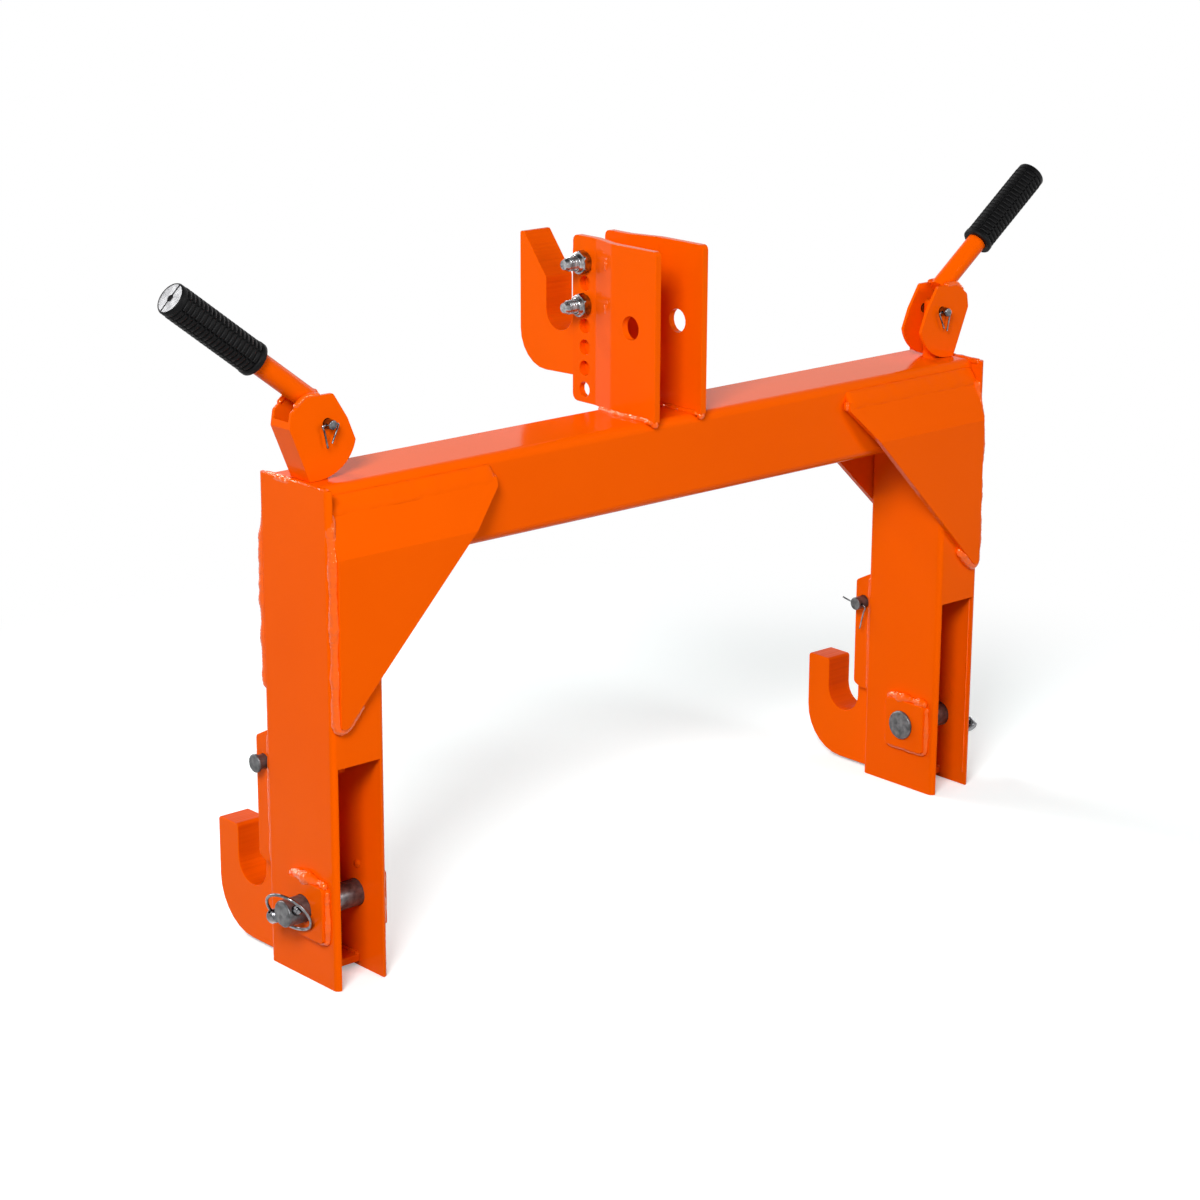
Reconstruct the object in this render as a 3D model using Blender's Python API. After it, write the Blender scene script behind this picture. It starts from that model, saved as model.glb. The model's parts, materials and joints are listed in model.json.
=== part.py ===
"""Three point quick hitch: a welded frame with two lower hooks, a bolted top hook
and a spring loaded latch at each lower hook, worked by a swinging handle.

X runs along the cross tube, Y points from the tractor to the implement, Z is up.
The origin is on the ground, under the middle of the bounding box.
"""
import math

import bmesh
import bpy
from mathutils import Matrix, Vector

MM = 0.001

# Clearances
GAP = 0.3 * MM              # between pieces that are welded or rest on each other
SLIDE = 0.5 * MM            # round a piece that slides or turns
OVERCUT = 2 * MM            # how far a cutter runs past the metal it cuts

# Overall frame
HOOK_SPACING = 683 * MM     # centre to centre of the lower hooks, category 1
FRAME_HEIGHT = 403 * MM     # ground to the top of the cross tube

# Legs: rectangular tube, its outer wall running up past the cross tube's end
LEG_WIDTH = 50.8 * MM
LEG_DEPTH = 88 * MM
LEG_WALL = 5 * MM
LEG_CORNER = 4.5 * MM
LEG_SLOT_TOP = 183 * MM     # top of the open front, where the lower link goes in

# Cross tube
TUBE_FRONT = 32 * MM        # front face, ahead of the legs' middle plane
TUBE_DEPTH = 72 * MM
TUBE_HEIGHT = 71 * MM
TUBE_WALL = 5 * MM
TUBE_CORNER = 8 * MM
TUBE_REAR = TUBE_DEPTH - TUBE_FRONT

# Corner gussets: one bent plate in front and one behind at each corner
GUSSET_PLATE = 6 * MM
GUSSET_INSET = 5 * MM       # from the leg's outer face
GUSSET_BEND = FRAME_HEIGHT - 53 * MM
GUSSET_TOP = FRAME_HEIGHT - 16 * MM
GUSSET_BOTTOM = FRAME_HEIGHT - 187 * MM
GUSSET_BOTTOM_REAR = FRAME_HEIGHT - 173 * MM
GUSSET_FOOT = 6 * MM        # width of the blunt bottom
GUSSET_REACH = 164 * MM     # along the cross tube
GUSSET_TIP = 7 * MM         # blunt height of the far tip

# Lower hooks: thick plate, throat open upwards
HOOK_PLATE = 28 * MM
THROAT_RADIUS = 19 * MM
THROAT_Y = LEG_DEPTH / 2 + 39 * MM
THROAT_BOTTOM = 49.5 * MM
HOOK_TIP_TOP = 96 * MM
HOOK_TIP_WIDTH = 27 * MM
HOOK_BOTTOM = 2.5 * MM
HOOK_BACK_RADIUS = 43 * MM
HOOK_SHANK_TOP = 80 * MM
HOOK_TAIL_GAP = 6 * MM      # from the link pin to the tail's end inside the leg

# Ears that carry the latch
EAR_PLATE = 6 * MM
EAR_REACH = 19.5 * MM       # behind the leg
EAR_ABOVE = 27.5 * MM       # top of the ear over the latch's pivot
EAR_CHAMFER = 8 * MM
EAR_SLOPE = 4 * MM          # flat top before the slope down to the rear

# Tie plate across the bottom of each leg
TIE_PLATE = 6 * MM
TIE_UNDER = 4 * MM
TIE_FRONT = 31 * MM         # back from the leg's front face

# Lower link pin with its pads and linchpin
PIN_RADIUS = 11 * MM
PIN_Y = -9 * MM
PIN_Z = 62 * MM
PIN_HEAD_RADIUS = 13.5 * MM
PIN_HEAD = 3.2 * MM
PIN_OUT = 20 * MM           # past the outer pad
PAD_SIZE = 46 * MM
PAD_PLATE = 6 * MM
PAD_Y = PIN_Y - 2.5 * MM    # the pad's middle, a little ahead of its hole
PAD_CORNER = 3 * MM
LINCH_RADIUS = 3.8 * MM
LINCH_BACK = 7 * MM         # its axis, in from the link pin's end
LINCH_TILT = {-1: math.radians(-25), 1: math.radians(-143.4)}    # left and right
LINCH_FRONT = 17 * MM
LINCH_HEAD_RADIUS = 6 * MM
LINCH_HEAD = 11 * MM
RING_RADIUS = 20 * MM
RING_WIRE = 1.3 * MM
RING_LEAN = math.radians(34)
RING_SLACK = 0.5 * MM       # round the wire in the linchpin's head

# Mast: two jogged plates that hold the top link in front and the top hook behind
MAST_PLATE = 6 * MM
MAST_TOP = FRAME_HEIGHT + 141 * MM
MAST_FRONT = TUBE_FRONT + 4 * MM    # front edge, ahead of the legs' middle plane
MAST_REAR = TUBE_REAR + 35 * MM
MAST_GAP = 46 * MM          # between the plates at the top link
JOG_START = MAST_REAR - 57 * MM
JOG_END = MAST_REAR - 29 * MM
TOP_LINK_RADIUS = 10 * MM
TOP_LINK_Y = -6 * MM
TOP_LINK_Z = FRAME_HEIGHT + 74.5 * MM
ADJUST_COUNT = 7
ADJUST_PITCH = 18 * MM
ADJUST_RADIUS = 6.5 * MM
ADJUST_Y = MAST_REAR - 15 * MM
ADJUST_TOP = FRAME_HEIGHT + 119.5 * MM

# Top hook, bolted between the mast's rear flanges
TOP_HOOK_PLATE = 29 * MM
TOP_THROAT_RADIUS = 17 * MM
TOP_THROAT_Y = MAST_REAR + 7.5 * MM + TOP_THROAT_RADIUS
TOP_THROAT_BOTTOM = FRAME_HEIGHT + 55 * MM
TOP_TIP_WIDTH = 34 * MM
TOP_TIP_TOP = FRAME_HEIGHT + 133.5 * MM
TOP_LEAD_IN = FRAME_HEIGHT + 98 * MM    # where the slanted lead-in meets the throat
TOP_HOOK_BOTTOM = FRAME_HEIGHT + 21 * MM
TOP_HOOK_FALL = 4 * MM      # how much lower its underside is at the rear
TOP_HOOK_BACK_RADIUS = 32 * MM
TOP_SHANK_TOP = FRAME_HEIGHT + 131 * MM
TOP_SHANK_GAP = 1 * MM      # from the jog to the shank's front end
BOLT_RADIUS = 6 * MM
BOLT_HOLES = (0, 2)         # which adjusting holes hold a bolt
NUT_FLATS = 18 * MM
NUT_HEIGHT = 11 * MM
NUT_CROWN = 2.5 * MM        # round collar that locks it
NUT_CROWN_RADIUS = 7.9 * MM
BOLT_HEAD = 7.5 * MM
BOLT_END = 12 * MM          # thread showing past the nut

# Latch: bell crank on a pin through the ears, pushed shut by the spring
LATCH_BACK = 9.6 * MM       # pivot behind the leg's rear face
LATCH_Z = 164.5 * MM
LATCH_PLATE = 12 * MM
LATCH_DROP = LATCH_Z - HOOK_SHANK_TOP - 5 * MM     # pivot to the end of the nose
LATCH_EYE = 9 * MM
EYE_SLACK = 1 * MM          # the rod's pin shifts in the eye as the latch turns
NOSE_FRONT = 7.5 * MM       # ahead of the pivot
NOSE_REAR = 10 * MM         # behind the pivot, at the tip
NOSE_NECK = 6 * MM          # behind the pivot, above the tip
LATCH_PIN_RADIUS = 6 * MM
LATCH_PIN_HEAD_RADIUS = 7.6 * MM
LATCH_PIN_OUT = 7 * MM      # shank showing outside the outer ear
LATCH_PIN_IN = 12 * MM      # past the inner ear
CLIP_WIRE = 1.1 * MM
CLIP_BACK = 4 * MM          # its hole, in from a pin's end

# Latch rod, spring and handle
ROD_RADIUS = 7 * MM
ROD_DROP = 16 * MM          # travel from open to shut
ROD_PIN_RADIUS = 4 * MM
FORK_WIDTH = 25 * MM
FORK_DEPTH = 18 * MM
FORK_ABOVE = 21 * MM        # top of the fork over its pin
FORK_SLOT = 4 * MM          # room over the latch's eye
ROD_ABOVE = 9 * MM          # top of the rod over the handle pin
SPRING_LENGTH = 50 * MM
SPRING_WIRE = 1.3 * MM
SPRING_RADIUS = 9.6 * MM
SPRING_TURNS = 6
SPRING_CLOSED_ENDS = 0.1    # how much closer the end turns lie than the middle ones
COLLAR_RADIUS = 11 * MM
COLLAR = 4 * MM
SWING = math.radians(90)    # handle's turn from open to shut
CAM_REST = 43 * MM          # handle pin above the cross tube, latch open
CAM_FLAT = 7 * MM
CAM_END = math.radians(78)  # turn at which the cam's edge ends
KNEE = 35 * MM              # outboard corner, level with the handle pin
BRACKET_TOP = 22.5 * MM     # above the handle pin
BRACKET_BACK = 24 * MM      # inboard reach
EAR_SHEET = 3 * MM          # folded sheet of the handle bracket
BAR_RADIUS = 9 * MM
BAR_ANGLE = math.radians(37.4)
BAR_OFFSET = 9 * MM         # bar's axis above the handle pin
BAR_START = 17 * MM         # bar's inner end, measured along the bar
GRIP_START = 78 * MM
GRIP_END = 169 * MM
GRIP_RADIUS = 13.8 * MM
GRIP_GROOVE = 1.6 * MM
GRIP_RIBS = 12
GRIP_CAP = 3 * MM
GRIP_VENT = 3 * MM
HANDLE_PIN_RADIUS = 4 * MM
HANDLE_PIN_OUT = 8 * MM

# Colours: red, green, blue, roughness, metallic
ORANGE_PAINT = (0.88, 0.11, 0.0, 0.32, 0.0)
ZINC_STEEL = (0.52, 0.52, 0.53, 0.35, 1.0)
DARK_STEEL = (0.30, 0.30, 0.31, 0.45, 1.0)
BLACK_RUBBER = (0.015, 0.015, 0.016, 0.7, 0.0)

# Places that follow from the sizes above
TUBE_BOTTOM = FRAME_HEIGHT - TUBE_HEIGHT
LEG_FACE = LEG_WIDTH / 2
LEG_INSIDE = LEG_FACE - LEG_WALL
LEG_REAR = LEG_DEPTH / 2
TUBE_LENGTH = HOOK_SPACING + 2 * (LEG_INSIDE - GAP)
TIE_TOP = TIE_UNDER + TIE_PLATE
HOOK_TAIL_Y = PIN_Y + PIN_RADIUS + HOOK_TAIL_GAP
EAR_TOP = LATCH_Z + EAR_ABOVE
LATCH_Y = LEG_REAR + LATCH_BACK
LATCH_HUB_RADIUS = LATCH_BACK - SLIDE
EAR_INSIDE = HOOK_PLATE / 2 + 0.5 * MM
EAR_OUTSIDE = EAR_INSIDE + EAR_PLATE
EAR_REAR = LEG_REAR + EAR_REACH
PAD_FACE = LEG_FACE + GAP + PAD_PLATE
PIN_END = PAD_FACE + PIN_OUT
LINCH_U = PIN_END - LINCH_BACK
FLANGE_FACE = TOP_HOOK_PLATE / 2 + GAP + MAST_PLATE
HANDLE_Z = FRAME_HEIGHT + GAP + CAM_REST
ROD_PIN_Z = LATCH_Z + ROD_DROP / 2
CAM_RATE = ROD_DROP / SWING
BRACKET_INSIDE = BAR_RADIUS + GAP
BRACKET_FACE = BRACKET_INSIDE + EAR_SHEET
TOP_TIP_Y = TOP_THROAT_Y + TOP_THROAT_RADIUS + TOP_TIP_WIDTH
GUSSET_FACE = LEG_REAR + GAP + GUSSET_PLATE
Y_CENTRE = (TOP_TIP_Y - GUSSET_FACE) / 2

for old in list(bpy.data.objects):
    bpy.data.objects.remove(old, do_unlink=True)


# Helpers that make and place a piece

def hub(name, place, parent=None):
    """Empty at a joint's axis, given in the frame's own coordinates."""
    empty = bpy.data.objects.new(name, None)
    bpy.context.collection.objects.link(empty)
    empty.parent = parent
    empty.location = Vector(place)
    if parent:
        empty.location -= Vector(parent["place"])
    empty["place"] = Vector(place)
    return empty


def painted(obj, finish):
    """Give an object a Principled material of its own."""
    red, green, blue, roughness, metallic = finish
    material = bpy.data.materials.new(obj.name + "_finish")
    material.use_nodes = True
    shader = material.node_tree.nodes["Principled BSDF"]
    shader.inputs["Base Color"].default_value = (red, green, blue, 1)
    shader.inputs["Roughness"].default_value = roughness
    shader.inputs["Metallic"].default_value = metallic
    obj.data.materials.append(material)


def piece(name, bm, finish, carrier):
    """Object from a mesh drawn in the frame's coordinates, hung on its carrier."""
    bmesh.ops.translate(bm, vec=-Vector(carrier["place"]), verts=bm.verts)
    bmesh.ops.recalc_face_normals(bm, faces=bm.faces[:])
    mesh = bpy.data.meshes.new(name)
    bm.to_mesh(mesh)
    bm.free()
    mesh.shade_smooth()
    mesh.set_sharp_from_angle(angle=math.radians(35))
    obj = bpy.data.objects.new(name, mesh)
    bpy.context.collection.objects.link(obj)
    obj.parent = carrier
    painted(obj, finish)
    return obj


def tool(obj, bm, operation="DIFFERENCE"):
    """Cut a piece with a mesh, join them or keep what they share."""
    name = obj.name + "_cutter"
    bmesh.ops.translate(bm, vec=-Vector(obj.parent["place"]), verts=bm.verts)
    bmesh.ops.recalc_face_normals(bm, faces=bm.faces[:])
    mesh = bpy.data.meshes.new(name)
    bm.to_mesh(mesh)
    bm.free()
    cutter = bpy.data.objects.new(name, mesh)
    bpy.context.collection.objects.link(cutter)
    cutter.parent = obj.parent
    cutter.hide_render = True
    cutter.display_type = "WIRE"
    boolean = obj.modifiers.new(operation.lower(), "BOOLEAN")
    boolean.operation = operation
    boolean.object = cutter


def wire(name, points, radius, finish, carrier, closed=False, sides=1):
    """Round wire along points given in the frame's coordinates."""
    curve = bpy.data.curves.new(name, "CURVE")
    curve.dimensions = "3D"
    curve.bevel_depth = radius
    curve.bevel_resolution = sides
    curve.use_fill_caps = not closed
    spline = curve.splines.new("POLY")
    spline.points.add(len(points) - 1)
    for point, place in zip(spline.points, points):
        point.co = (*(Vector(place) - Vector(carrier["place"])), 1)
    spline.use_cyclic_u = closed
    obj = bpy.data.objects.new(name, curve)
    bpy.context.collection.objects.link(obj)
    obj.parent = carrier
    painted(obj, finish)
    return obj


# Helpers that draw outlines and solids

def rounded(corners, steps=3):
    """Outline through corners (a, b) or (a, b, radius), each radius made an arc."""
    outline = []
    for index, corner in enumerate(corners):
        here = Vector(corner[:2])
        radius = corner[2] if len(corner) > 2 else 0
        if radius <= 0:
            outline.append(here)
            continue
        after = corners[(index + 1) % len(corners)]
        back = (Vector(corners[index - 1][:2]) - here).normalized()
        ahead = (Vector(after[:2]) - here).normalized()
        half = back.angle(ahead) / 2
        centre = here + (back + ahead).normalized() * radius / math.sin(half)
        first = here + back * radius / math.tan(half) - centre
        last = here + ahead * radius / math.tan(half) - centre
        turn = math.atan2(first.cross(last), first.dot(last))
        for step in range(steps + 1):
            outline.append(centre + Matrix.Rotation(turn * step / steps, 2) @ first)
    tidy = []
    for point in outline:
        if not tidy or (point - tidy[-1]).length > 1e-6:
            tidy.append(point)
    return tidy


def circle(centre, radius, sides=18):
    """Outline of a circle."""
    angles = [2 * math.pi * (step + 0.5) / sides for step in range(sides)]
    return [Vector((centre[0] + radius * math.cos(a), centre[1] + radius * math.sin(a)))
            for a in angles]


def box_outline(a_low, a_high, b_low, b_high, radius=0):
    """Outline of a rectangle, its corners rounded."""
    corners = ((a_low, b_low), (a_high, b_low), (a_high, b_high), (a_low, b_high))
    return rounded([(*corner, radius) for corner in corners])


def along(axis, a, b, c):
    """Point at (a, b) in the plane square to an axis, c along it."""
    return {"X": (c, a, b), "Y": (a, c, b), "Z": (a, b, c)}[axis]


def prism(outline, axis, start, end):
    """Outline drawn square to an axis and extruded between two places on it."""
    bm = bmesh.new()
    corners = [bm.verts.new(along(axis, a, b, start)) for a, b in outline]
    face = bm.faces.new(corners)
    grown = bmesh.ops.extrude_face_region(bm, geom=[face])
    moved = [item for item in grown["geom"] if isinstance(item, bmesh.types.BMVert)]
    bmesh.ops.translate(bm, vec=along(axis, 0, 0, end - start), verts=moved)
    return bm


def turned(profile, origin, direction, sides=18):
    """Profile of (radius, distance) points turned about an axis."""
    bm = bmesh.new()
    rim = [bm.verts.new((radius, 0, distance)) for radius, distance in profile]
    edges = [bm.edges.new(pair) for pair in zip(rim, rim[1:])]
    if profile[0][0] > 0:
        edges.append(bm.edges.new((rim[-1], rim[0])))
    bmesh.ops.spin(bm, geom=rim + edges, axis=(0, 0, 1), cent=(0, 0, 0),
                   angle=2 * math.pi, steps=sides, use_merge=True)
    bmesh.ops.remove_doubles(bm, verts=bm.verts, dist=1e-6)
    turn = Vector((0, 0, 1)).rotation_difference(Vector(direction))
    bmesh.ops.rotate(bm, matrix=turn.to_matrix(), verts=bm.verts)
    bmesh.ops.translate(bm, vec=Vector(origin), verts=bm.verts)
    return bm


def hexagon(centre, flats):
    """Outline of a hexagon, given its width across flats."""
    return circle(centre, flats / math.sqrt(3), 6)


assembly = hub("assembly", (0, 0, 0))


# Cross tube

def cross_tube():
    half = TUBE_LENGTH / 2
    section = box_outline(-TUBE_FRONT, TUBE_REAR, TUBE_BOTTOM, FRAME_HEIGHT, TUBE_CORNER)
    bore = box_outline(-TUBE_FRONT + TUBE_WALL, TUBE_REAR - TUBE_WALL,
                       TUBE_BOTTOM + TUBE_WALL, FRAME_HEIGHT - TUBE_WALL,
                       TUBE_CORNER - TUBE_WALL)
    tube = piece("cross_tube", prism(section, "X", -half, half), ORANGE_PAINT, assembly)
    tool(tube, prism(bore, "X", -half - OVERCUT, half + OVERCUT))
    for side in (-1, 1):
        hole = circle((side * HOOK_SPACING / 2, 0), ROD_RADIUS + SLIDE)
        tool(tube, prism(hole, "Z", TUBE_BOTTOM - OVERCUT, FRAME_HEIGHT + OVERCUT))


# Pieces that each leg carries; u counts outboard from the leg's middle

def across(side, outline, u_start, u_end):
    """Prism across a leg, between two places counted outboard from its middle."""
    ends = sorted(side * (HOOK_SPACING / 2 + u) for u in (u_start, u_end))
    return prism(outline, "X", *ends)


def leg(side, name):
    middle = side * HOOK_SPACING / 2
    section = box_outline(middle - LEG_FACE, middle + LEG_FACE, -LEG_REAR, LEG_REAR, LEG_CORNER)
    tube = piece(name + "_leg", prism(section, "Z", 0, FRAME_HEIGHT), ORANGE_PAINT, assembly)
    bore = box_outline(middle - LEG_INSIDE, middle + LEG_INSIDE,
                       LEG_WALL - LEG_REAR, LEG_REAR - LEG_WALL)
    tool(tube, prism(bore, "Z", -OVERCUT, FRAME_HEIGHT + OVERCUT))
    front = box_outline(-LEG_REAR - OVERCUT, 0, -2 * OVERCUT, LEG_SLOT_TOP)
    tool(tube, across(side, front, -LEG_INSIDE, LEG_INSIDE))
    notch = box_outline(-LEG_REAR - OVERCUT, LEG_REAR + OVERCUT,
                        TUBE_BOTTOM - GAP, FRAME_HEIGHT + 2 * OVERCUT)
    tool(tube, across(side, notch, -LEG_FACE - OVERCUT, LEG_INSIDE))
    hook_slot = box_outline(0, LEG_REAR + OVERCUT, TIE_TOP, HOOK_SHANK_TOP + GAP)
    tool(tube, across(side, hook_slot, -HOOK_PLATE / 2 - GAP, HOOK_PLATE / 2 + GAP))
    arm_slot = box_outline(0, LEG_REAR + OVERCUT, LATCH_Z - LATCH_EYE - ROD_DROP / 2,
                           LATCH_Z + LATCH_EYE + ROD_DROP / 2)
    half = LATCH_PLATE / 2 + SLIDE
    tool(tube, across(side, arm_slot, -half, half))
    pin_hole = circle((PIN_Y, PIN_Z), PIN_RADIUS + SLIDE)
    tool(tube, across(side, pin_hole, -LEG_FACE - OVERCUT, LEG_FACE + OVERCUT))


def gusset(side, name, face):
    """Bent triangular plate; face is -1 in front and 1 behind."""
    tube_face = TUBE_FRONT if face < 0 else TUBE_REAR
    lean_in = LEG_REAR - tube_face
    inner = LEG_REAR + GAP
    bent = [(face * inner, 0), (face * GUSSET_FACE, 0), (face * GUSSET_FACE, GUSSET_BEND),
            (face * (GUSSET_FACE - lean_in), GUSSET_TOP),
            (face * (inner - lean_in), GUSSET_TOP), (face * inner, GUSSET_BEND)]
    outer = HOOK_SPACING / 2 + LEG_FACE - GUSSET_INSET
    bottom = GUSSET_BOTTOM if face < 0 else GUSSET_BOTTOM_REAR
    tip = outer - GUSSET_REACH
    corners = [(outer, GUSSET_TOP + OVERCUT), (outer, bottom, 3 * MM),
               (outer - GUSSET_FOOT, bottom, 5 * MM), (tip, GUSSET_TOP - GUSSET_TIP, 3 * MM),
               (tip, GUSSET_TOP + OVERCUT)]
    outline = rounded([(side * corner[0], *corner[1:]) for corner in corners])
    word = "front" if face < 0 else "rear"
    plate = piece(name + "_" + word + "_gusset",
                  prism(outline, "Y", face * TUBE_FRONT / 2, face * (GUSSET_FACE + OVERCUT)),
                  ORANGE_PAINT, assembly)
    ends = sorted((side * (tip - OVERCUT), side * (outer + OVERCUT)))
    tool(plate, prism([Vector(point) for point in bent], "X", *ends), "INTERSECT")


def lower_hook(side, name):
    inner = THROAT_Y - THROAT_RADIUS
    outer = THROAT_Y + THROAT_RADIUS
    back = outer + HOOK_TIP_WIDTH
    outline = rounded([
        (HOOK_TAIL_Y, TIE_TOP + GAP), (LEG_REAR + GAP, TIE_TOP + GAP),
        (LEG_REAR + GAP, HOOK_BOTTOM, 1 * MM), (back, HOOK_BOTTOM, HOOK_BACK_RADIUS),
        (back, HOOK_TIP_TOP, 3 * MM), (outer, HOOK_TIP_TOP, 3 * MM),
        (outer, THROAT_BOTTOM, THROAT_RADIUS), (inner, THROAT_BOTTOM, THROAT_RADIUS),
        (inner, HOOK_SHANK_TOP, 2 * MM), (HOOK_TAIL_Y, HOOK_SHANK_TOP)], 7)
    plate = across(side, outline, -HOOK_PLATE / 2, HOOK_PLATE / 2)
    piece(name + "_lower_hook", plate, ORANGE_PAINT, assembly)


def ear(side, name, word, flip):
    """Latch ear on the leg's rear face; flip is 1 outboard and -1 inboard."""
    bottom = HOOK_SHANK_TOP + GAP
    outline = rounded([
        (LEG_REAR + GAP, EAR_TOP), (LEG_REAR + GAP, bottom),
        (EAR_REAR - EAR_CHAMFER, bottom, 3 * MM), (EAR_REAR, bottom + EAR_CHAMFER / 2, 4 * MM),
        (EAR_REAR, EAR_TOP - EAR_CHAMFER, 4 * MM), (LEG_REAR + EAR_SLOPE, EAR_TOP, 2 * MM)])
    plate = across(side, outline, flip * EAR_INSIDE, flip * EAR_OUTSIDE)
    obj = piece(name + "_" + word + "_ear", plate, ORANGE_PAINT, assembly)
    hole = circle((LATCH_Y, LATCH_Z), LATCH_PIN_RADIUS + GAP)
    tool(obj, across(side, hole, flip * (EAR_INSIDE - OVERCUT),
                     flip * (EAR_OUTSIDE + OVERCUT)))


def pin_pad(side, name, word, flip):
    """Square wear pad round the link pin's hole."""
    half = PAD_SIZE / 2
    outline = box_outline(PAD_Y - half, PAD_Y + half, PIN_Z - half, PIN_Z + half, PAD_CORNER)
    plate = across(side, outline, flip * (LEG_FACE + GAP), flip * PAD_FACE)
    obj = piece(name + "_" + word + "_pin_pad", plate, ORANGE_PAINT, assembly)
    hole = circle((PIN_Y, PIN_Z), PIN_RADIUS + SLIDE)
    tool(obj, across(side, hole, flip * (LEG_FACE - OVERCUT),
                     flip * (PAD_FACE + OVERCUT)))


def tie_plate(side, name):
    half = LEG_INSIDE - GAP
    middle = side * HOOK_SPACING / 2
    outline = box_outline(middle - half, middle + half, TIE_FRONT - LEG_REAR,
                          LEG_REAR - LEG_WALL - GAP)
    piece(name + "_tie_plate", prism(outline, "Z", TIE_UNDER, TIE_TOP), ORANGE_PAINT, assembly)


def link_pin(side, name):
    chamfer = 1.5 * MM
    head = PAD_FACE + GAP + PIN_HEAD
    profile = [(0, -head), (PIN_HEAD_RADIUS - chamfer, -head),
               (PIN_HEAD_RADIUS, chamfer - head), (PIN_HEAD_RADIUS, PIN_HEAD - head),
               (PIN_RADIUS, PIN_HEAD - head), (PIN_RADIUS, PIN_END - chamfer),
               (PIN_RADIUS - chamfer, PIN_END), (0, PIN_END)]
    origin = (side * HOOK_SPACING / 2, PIN_Y, PIN_Z)
    obj = piece(name + "_link_pin", turned(profile, origin, (side, 0, 0)), ZINC_STEEL, assembly)
    reach = 2 * PIN_RADIUS
    hole = [(0, -reach), (LINCH_RADIUS + GAP, -reach), (LINCH_RADIUS + GAP, reach), (0, reach)]
    tool(obj, turned(hole, linch_origin(side), linch_direction(side), 16))


def linch_direction(side):
    return Vector((0, math.cos(LINCH_TILT[side]), math.sin(LINCH_TILT[side])))


def linch_origin(side):
    return Vector((side * (HOOK_SPACING / 2 + LINCH_U), PIN_Y, PIN_Z))


def linchpin(side, name):
    """Stem through the link pin, its head bored for the snap ring."""
    chamfer = 1.5 * MM
    seat = RING_RADIUS - LINCH_HEAD / 2
    tip = -LINCH_FRONT
    profile = [(0, tip), (LINCH_RADIUS - chamfer, tip), (LINCH_RADIUS, tip + chamfer),
               (LINCH_RADIUS, seat), (LINCH_HEAD_RADIUS, seat + chamfer),
               (LINCH_HEAD_RADIUS, seat + LINCH_HEAD - chamfer),
               (LINCH_HEAD_RADIUS - chamfer, seat + LINCH_HEAD), (0, seat + LINCH_HEAD)]
    stem = turned(profile, linch_origin(side), linch_direction(side), 16)
    obj = piece(name + "_linchpin", stem, ZINC_STEEL, assembly)
    sag = RING_RADIUS - math.sqrt(RING_RADIUS ** 2 - LINCH_HEAD_RADIUS ** 2)
    bore = RING_WIRE + sag + RING_SLACK
    half = LINCH_HEAD_RADIUS + OVERCUT
    hole = [(0, -half), (bore, -half), (bore, half), (0, half)]
    place = linch_origin(side) + linch_direction(side) * RING_RADIUS
    tool(obj, turned(hole, place, ring_axis(side), 16))


def ring_axis(side):
    """Hinge line of the snap ring: across the stem and leaning out of the upright."""
    lift = Vector((1, 0, 0)).cross(linch_direction(side))
    return (Matrix.Rotation(side * RING_LEAN, 3, linch_direction(side)) @ lift).normalized()


def snap_ring(side, name):
    """Spring ring that hinges in the linchpin's head and closes round the link pin."""
    place = linch_origin(side) + linch_direction(side) * RING_RADIUS
    carrier = hub(name + "_ring_hinge", place, assembly)
    steps = 22
    points = []
    for step in range(steps):
        angle = 2 * math.pi * step / steps
        points.append(linch_origin(side) + RING_RADIUS * (
            math.cos(angle) * linch_direction(side) + math.sin(angle) * ring_axis(side)))
    wire(name + "_snap_ring", points, RING_WIRE, ZINC_STEEL, carrier, closed=True)


# Latch at each lower hook

def latch(side, name):
    middle = side * HOOK_SPACING / 2
    carrier = hub(name + "_latch_pivot", (middle, LATCH_Y, LATCH_Z), assembly)
    eye = -LATCH_Y
    lift = ROD_DROP / 2
    low = -LATCH_DROP
    drawn = rounded([
        (eye - LATCH_EYE, lift + LATCH_EYE, 7 * MM), (eye - LATCH_EYE, lift - LATCH_EYE, 7 * MM),
        (-NOSE_FRONT, -LATCH_HUB_RADIUS, 3 * MM), (-NOSE_FRONT, low, 2 * MM),
        (NOSE_REAR, low, 3 * MM), (NOSE_REAR, low + 12 * MM, 3 * MM),
        (NOSE_NECK, low + 20 * MM, 4 * MM),
        (NOSE_NECK, -LATCH_HUB_RADIUS - 4 * MM, 4 * MM),
        (LATCH_HUB_RADIUS, LATCH_HUB_RADIUS, 9 * MM)])
    outline = [point + Vector((LATCH_Y, LATCH_Z)) for point in drawn]
    half = LATCH_PLATE / 2
    obj = piece(name + "_latch", across(side, outline, -half, half), ORANGE_PAINT, carrier)
    boss = circle((LATCH_Y, LATCH_Z), LATCH_HUB_RADIUS)
    boss_half = EAR_INSIDE - GAP
    tool(obj, across(side, boss, -boss_half, boss_half), "UNION")
    bore = circle((LATCH_Y, LATCH_Z), LATCH_PIN_RADIUS + GAP)
    tool(obj, across(side, bore, -boss_half - OVERCUT, boss_half + OVERCUT))
    eye_hole = circle((0, ROD_PIN_Z), ROD_PIN_RADIUS + EYE_SLACK)
    tool(obj, across(side, eye_hole, -half - OVERCUT, half + OVERCUT))


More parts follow.
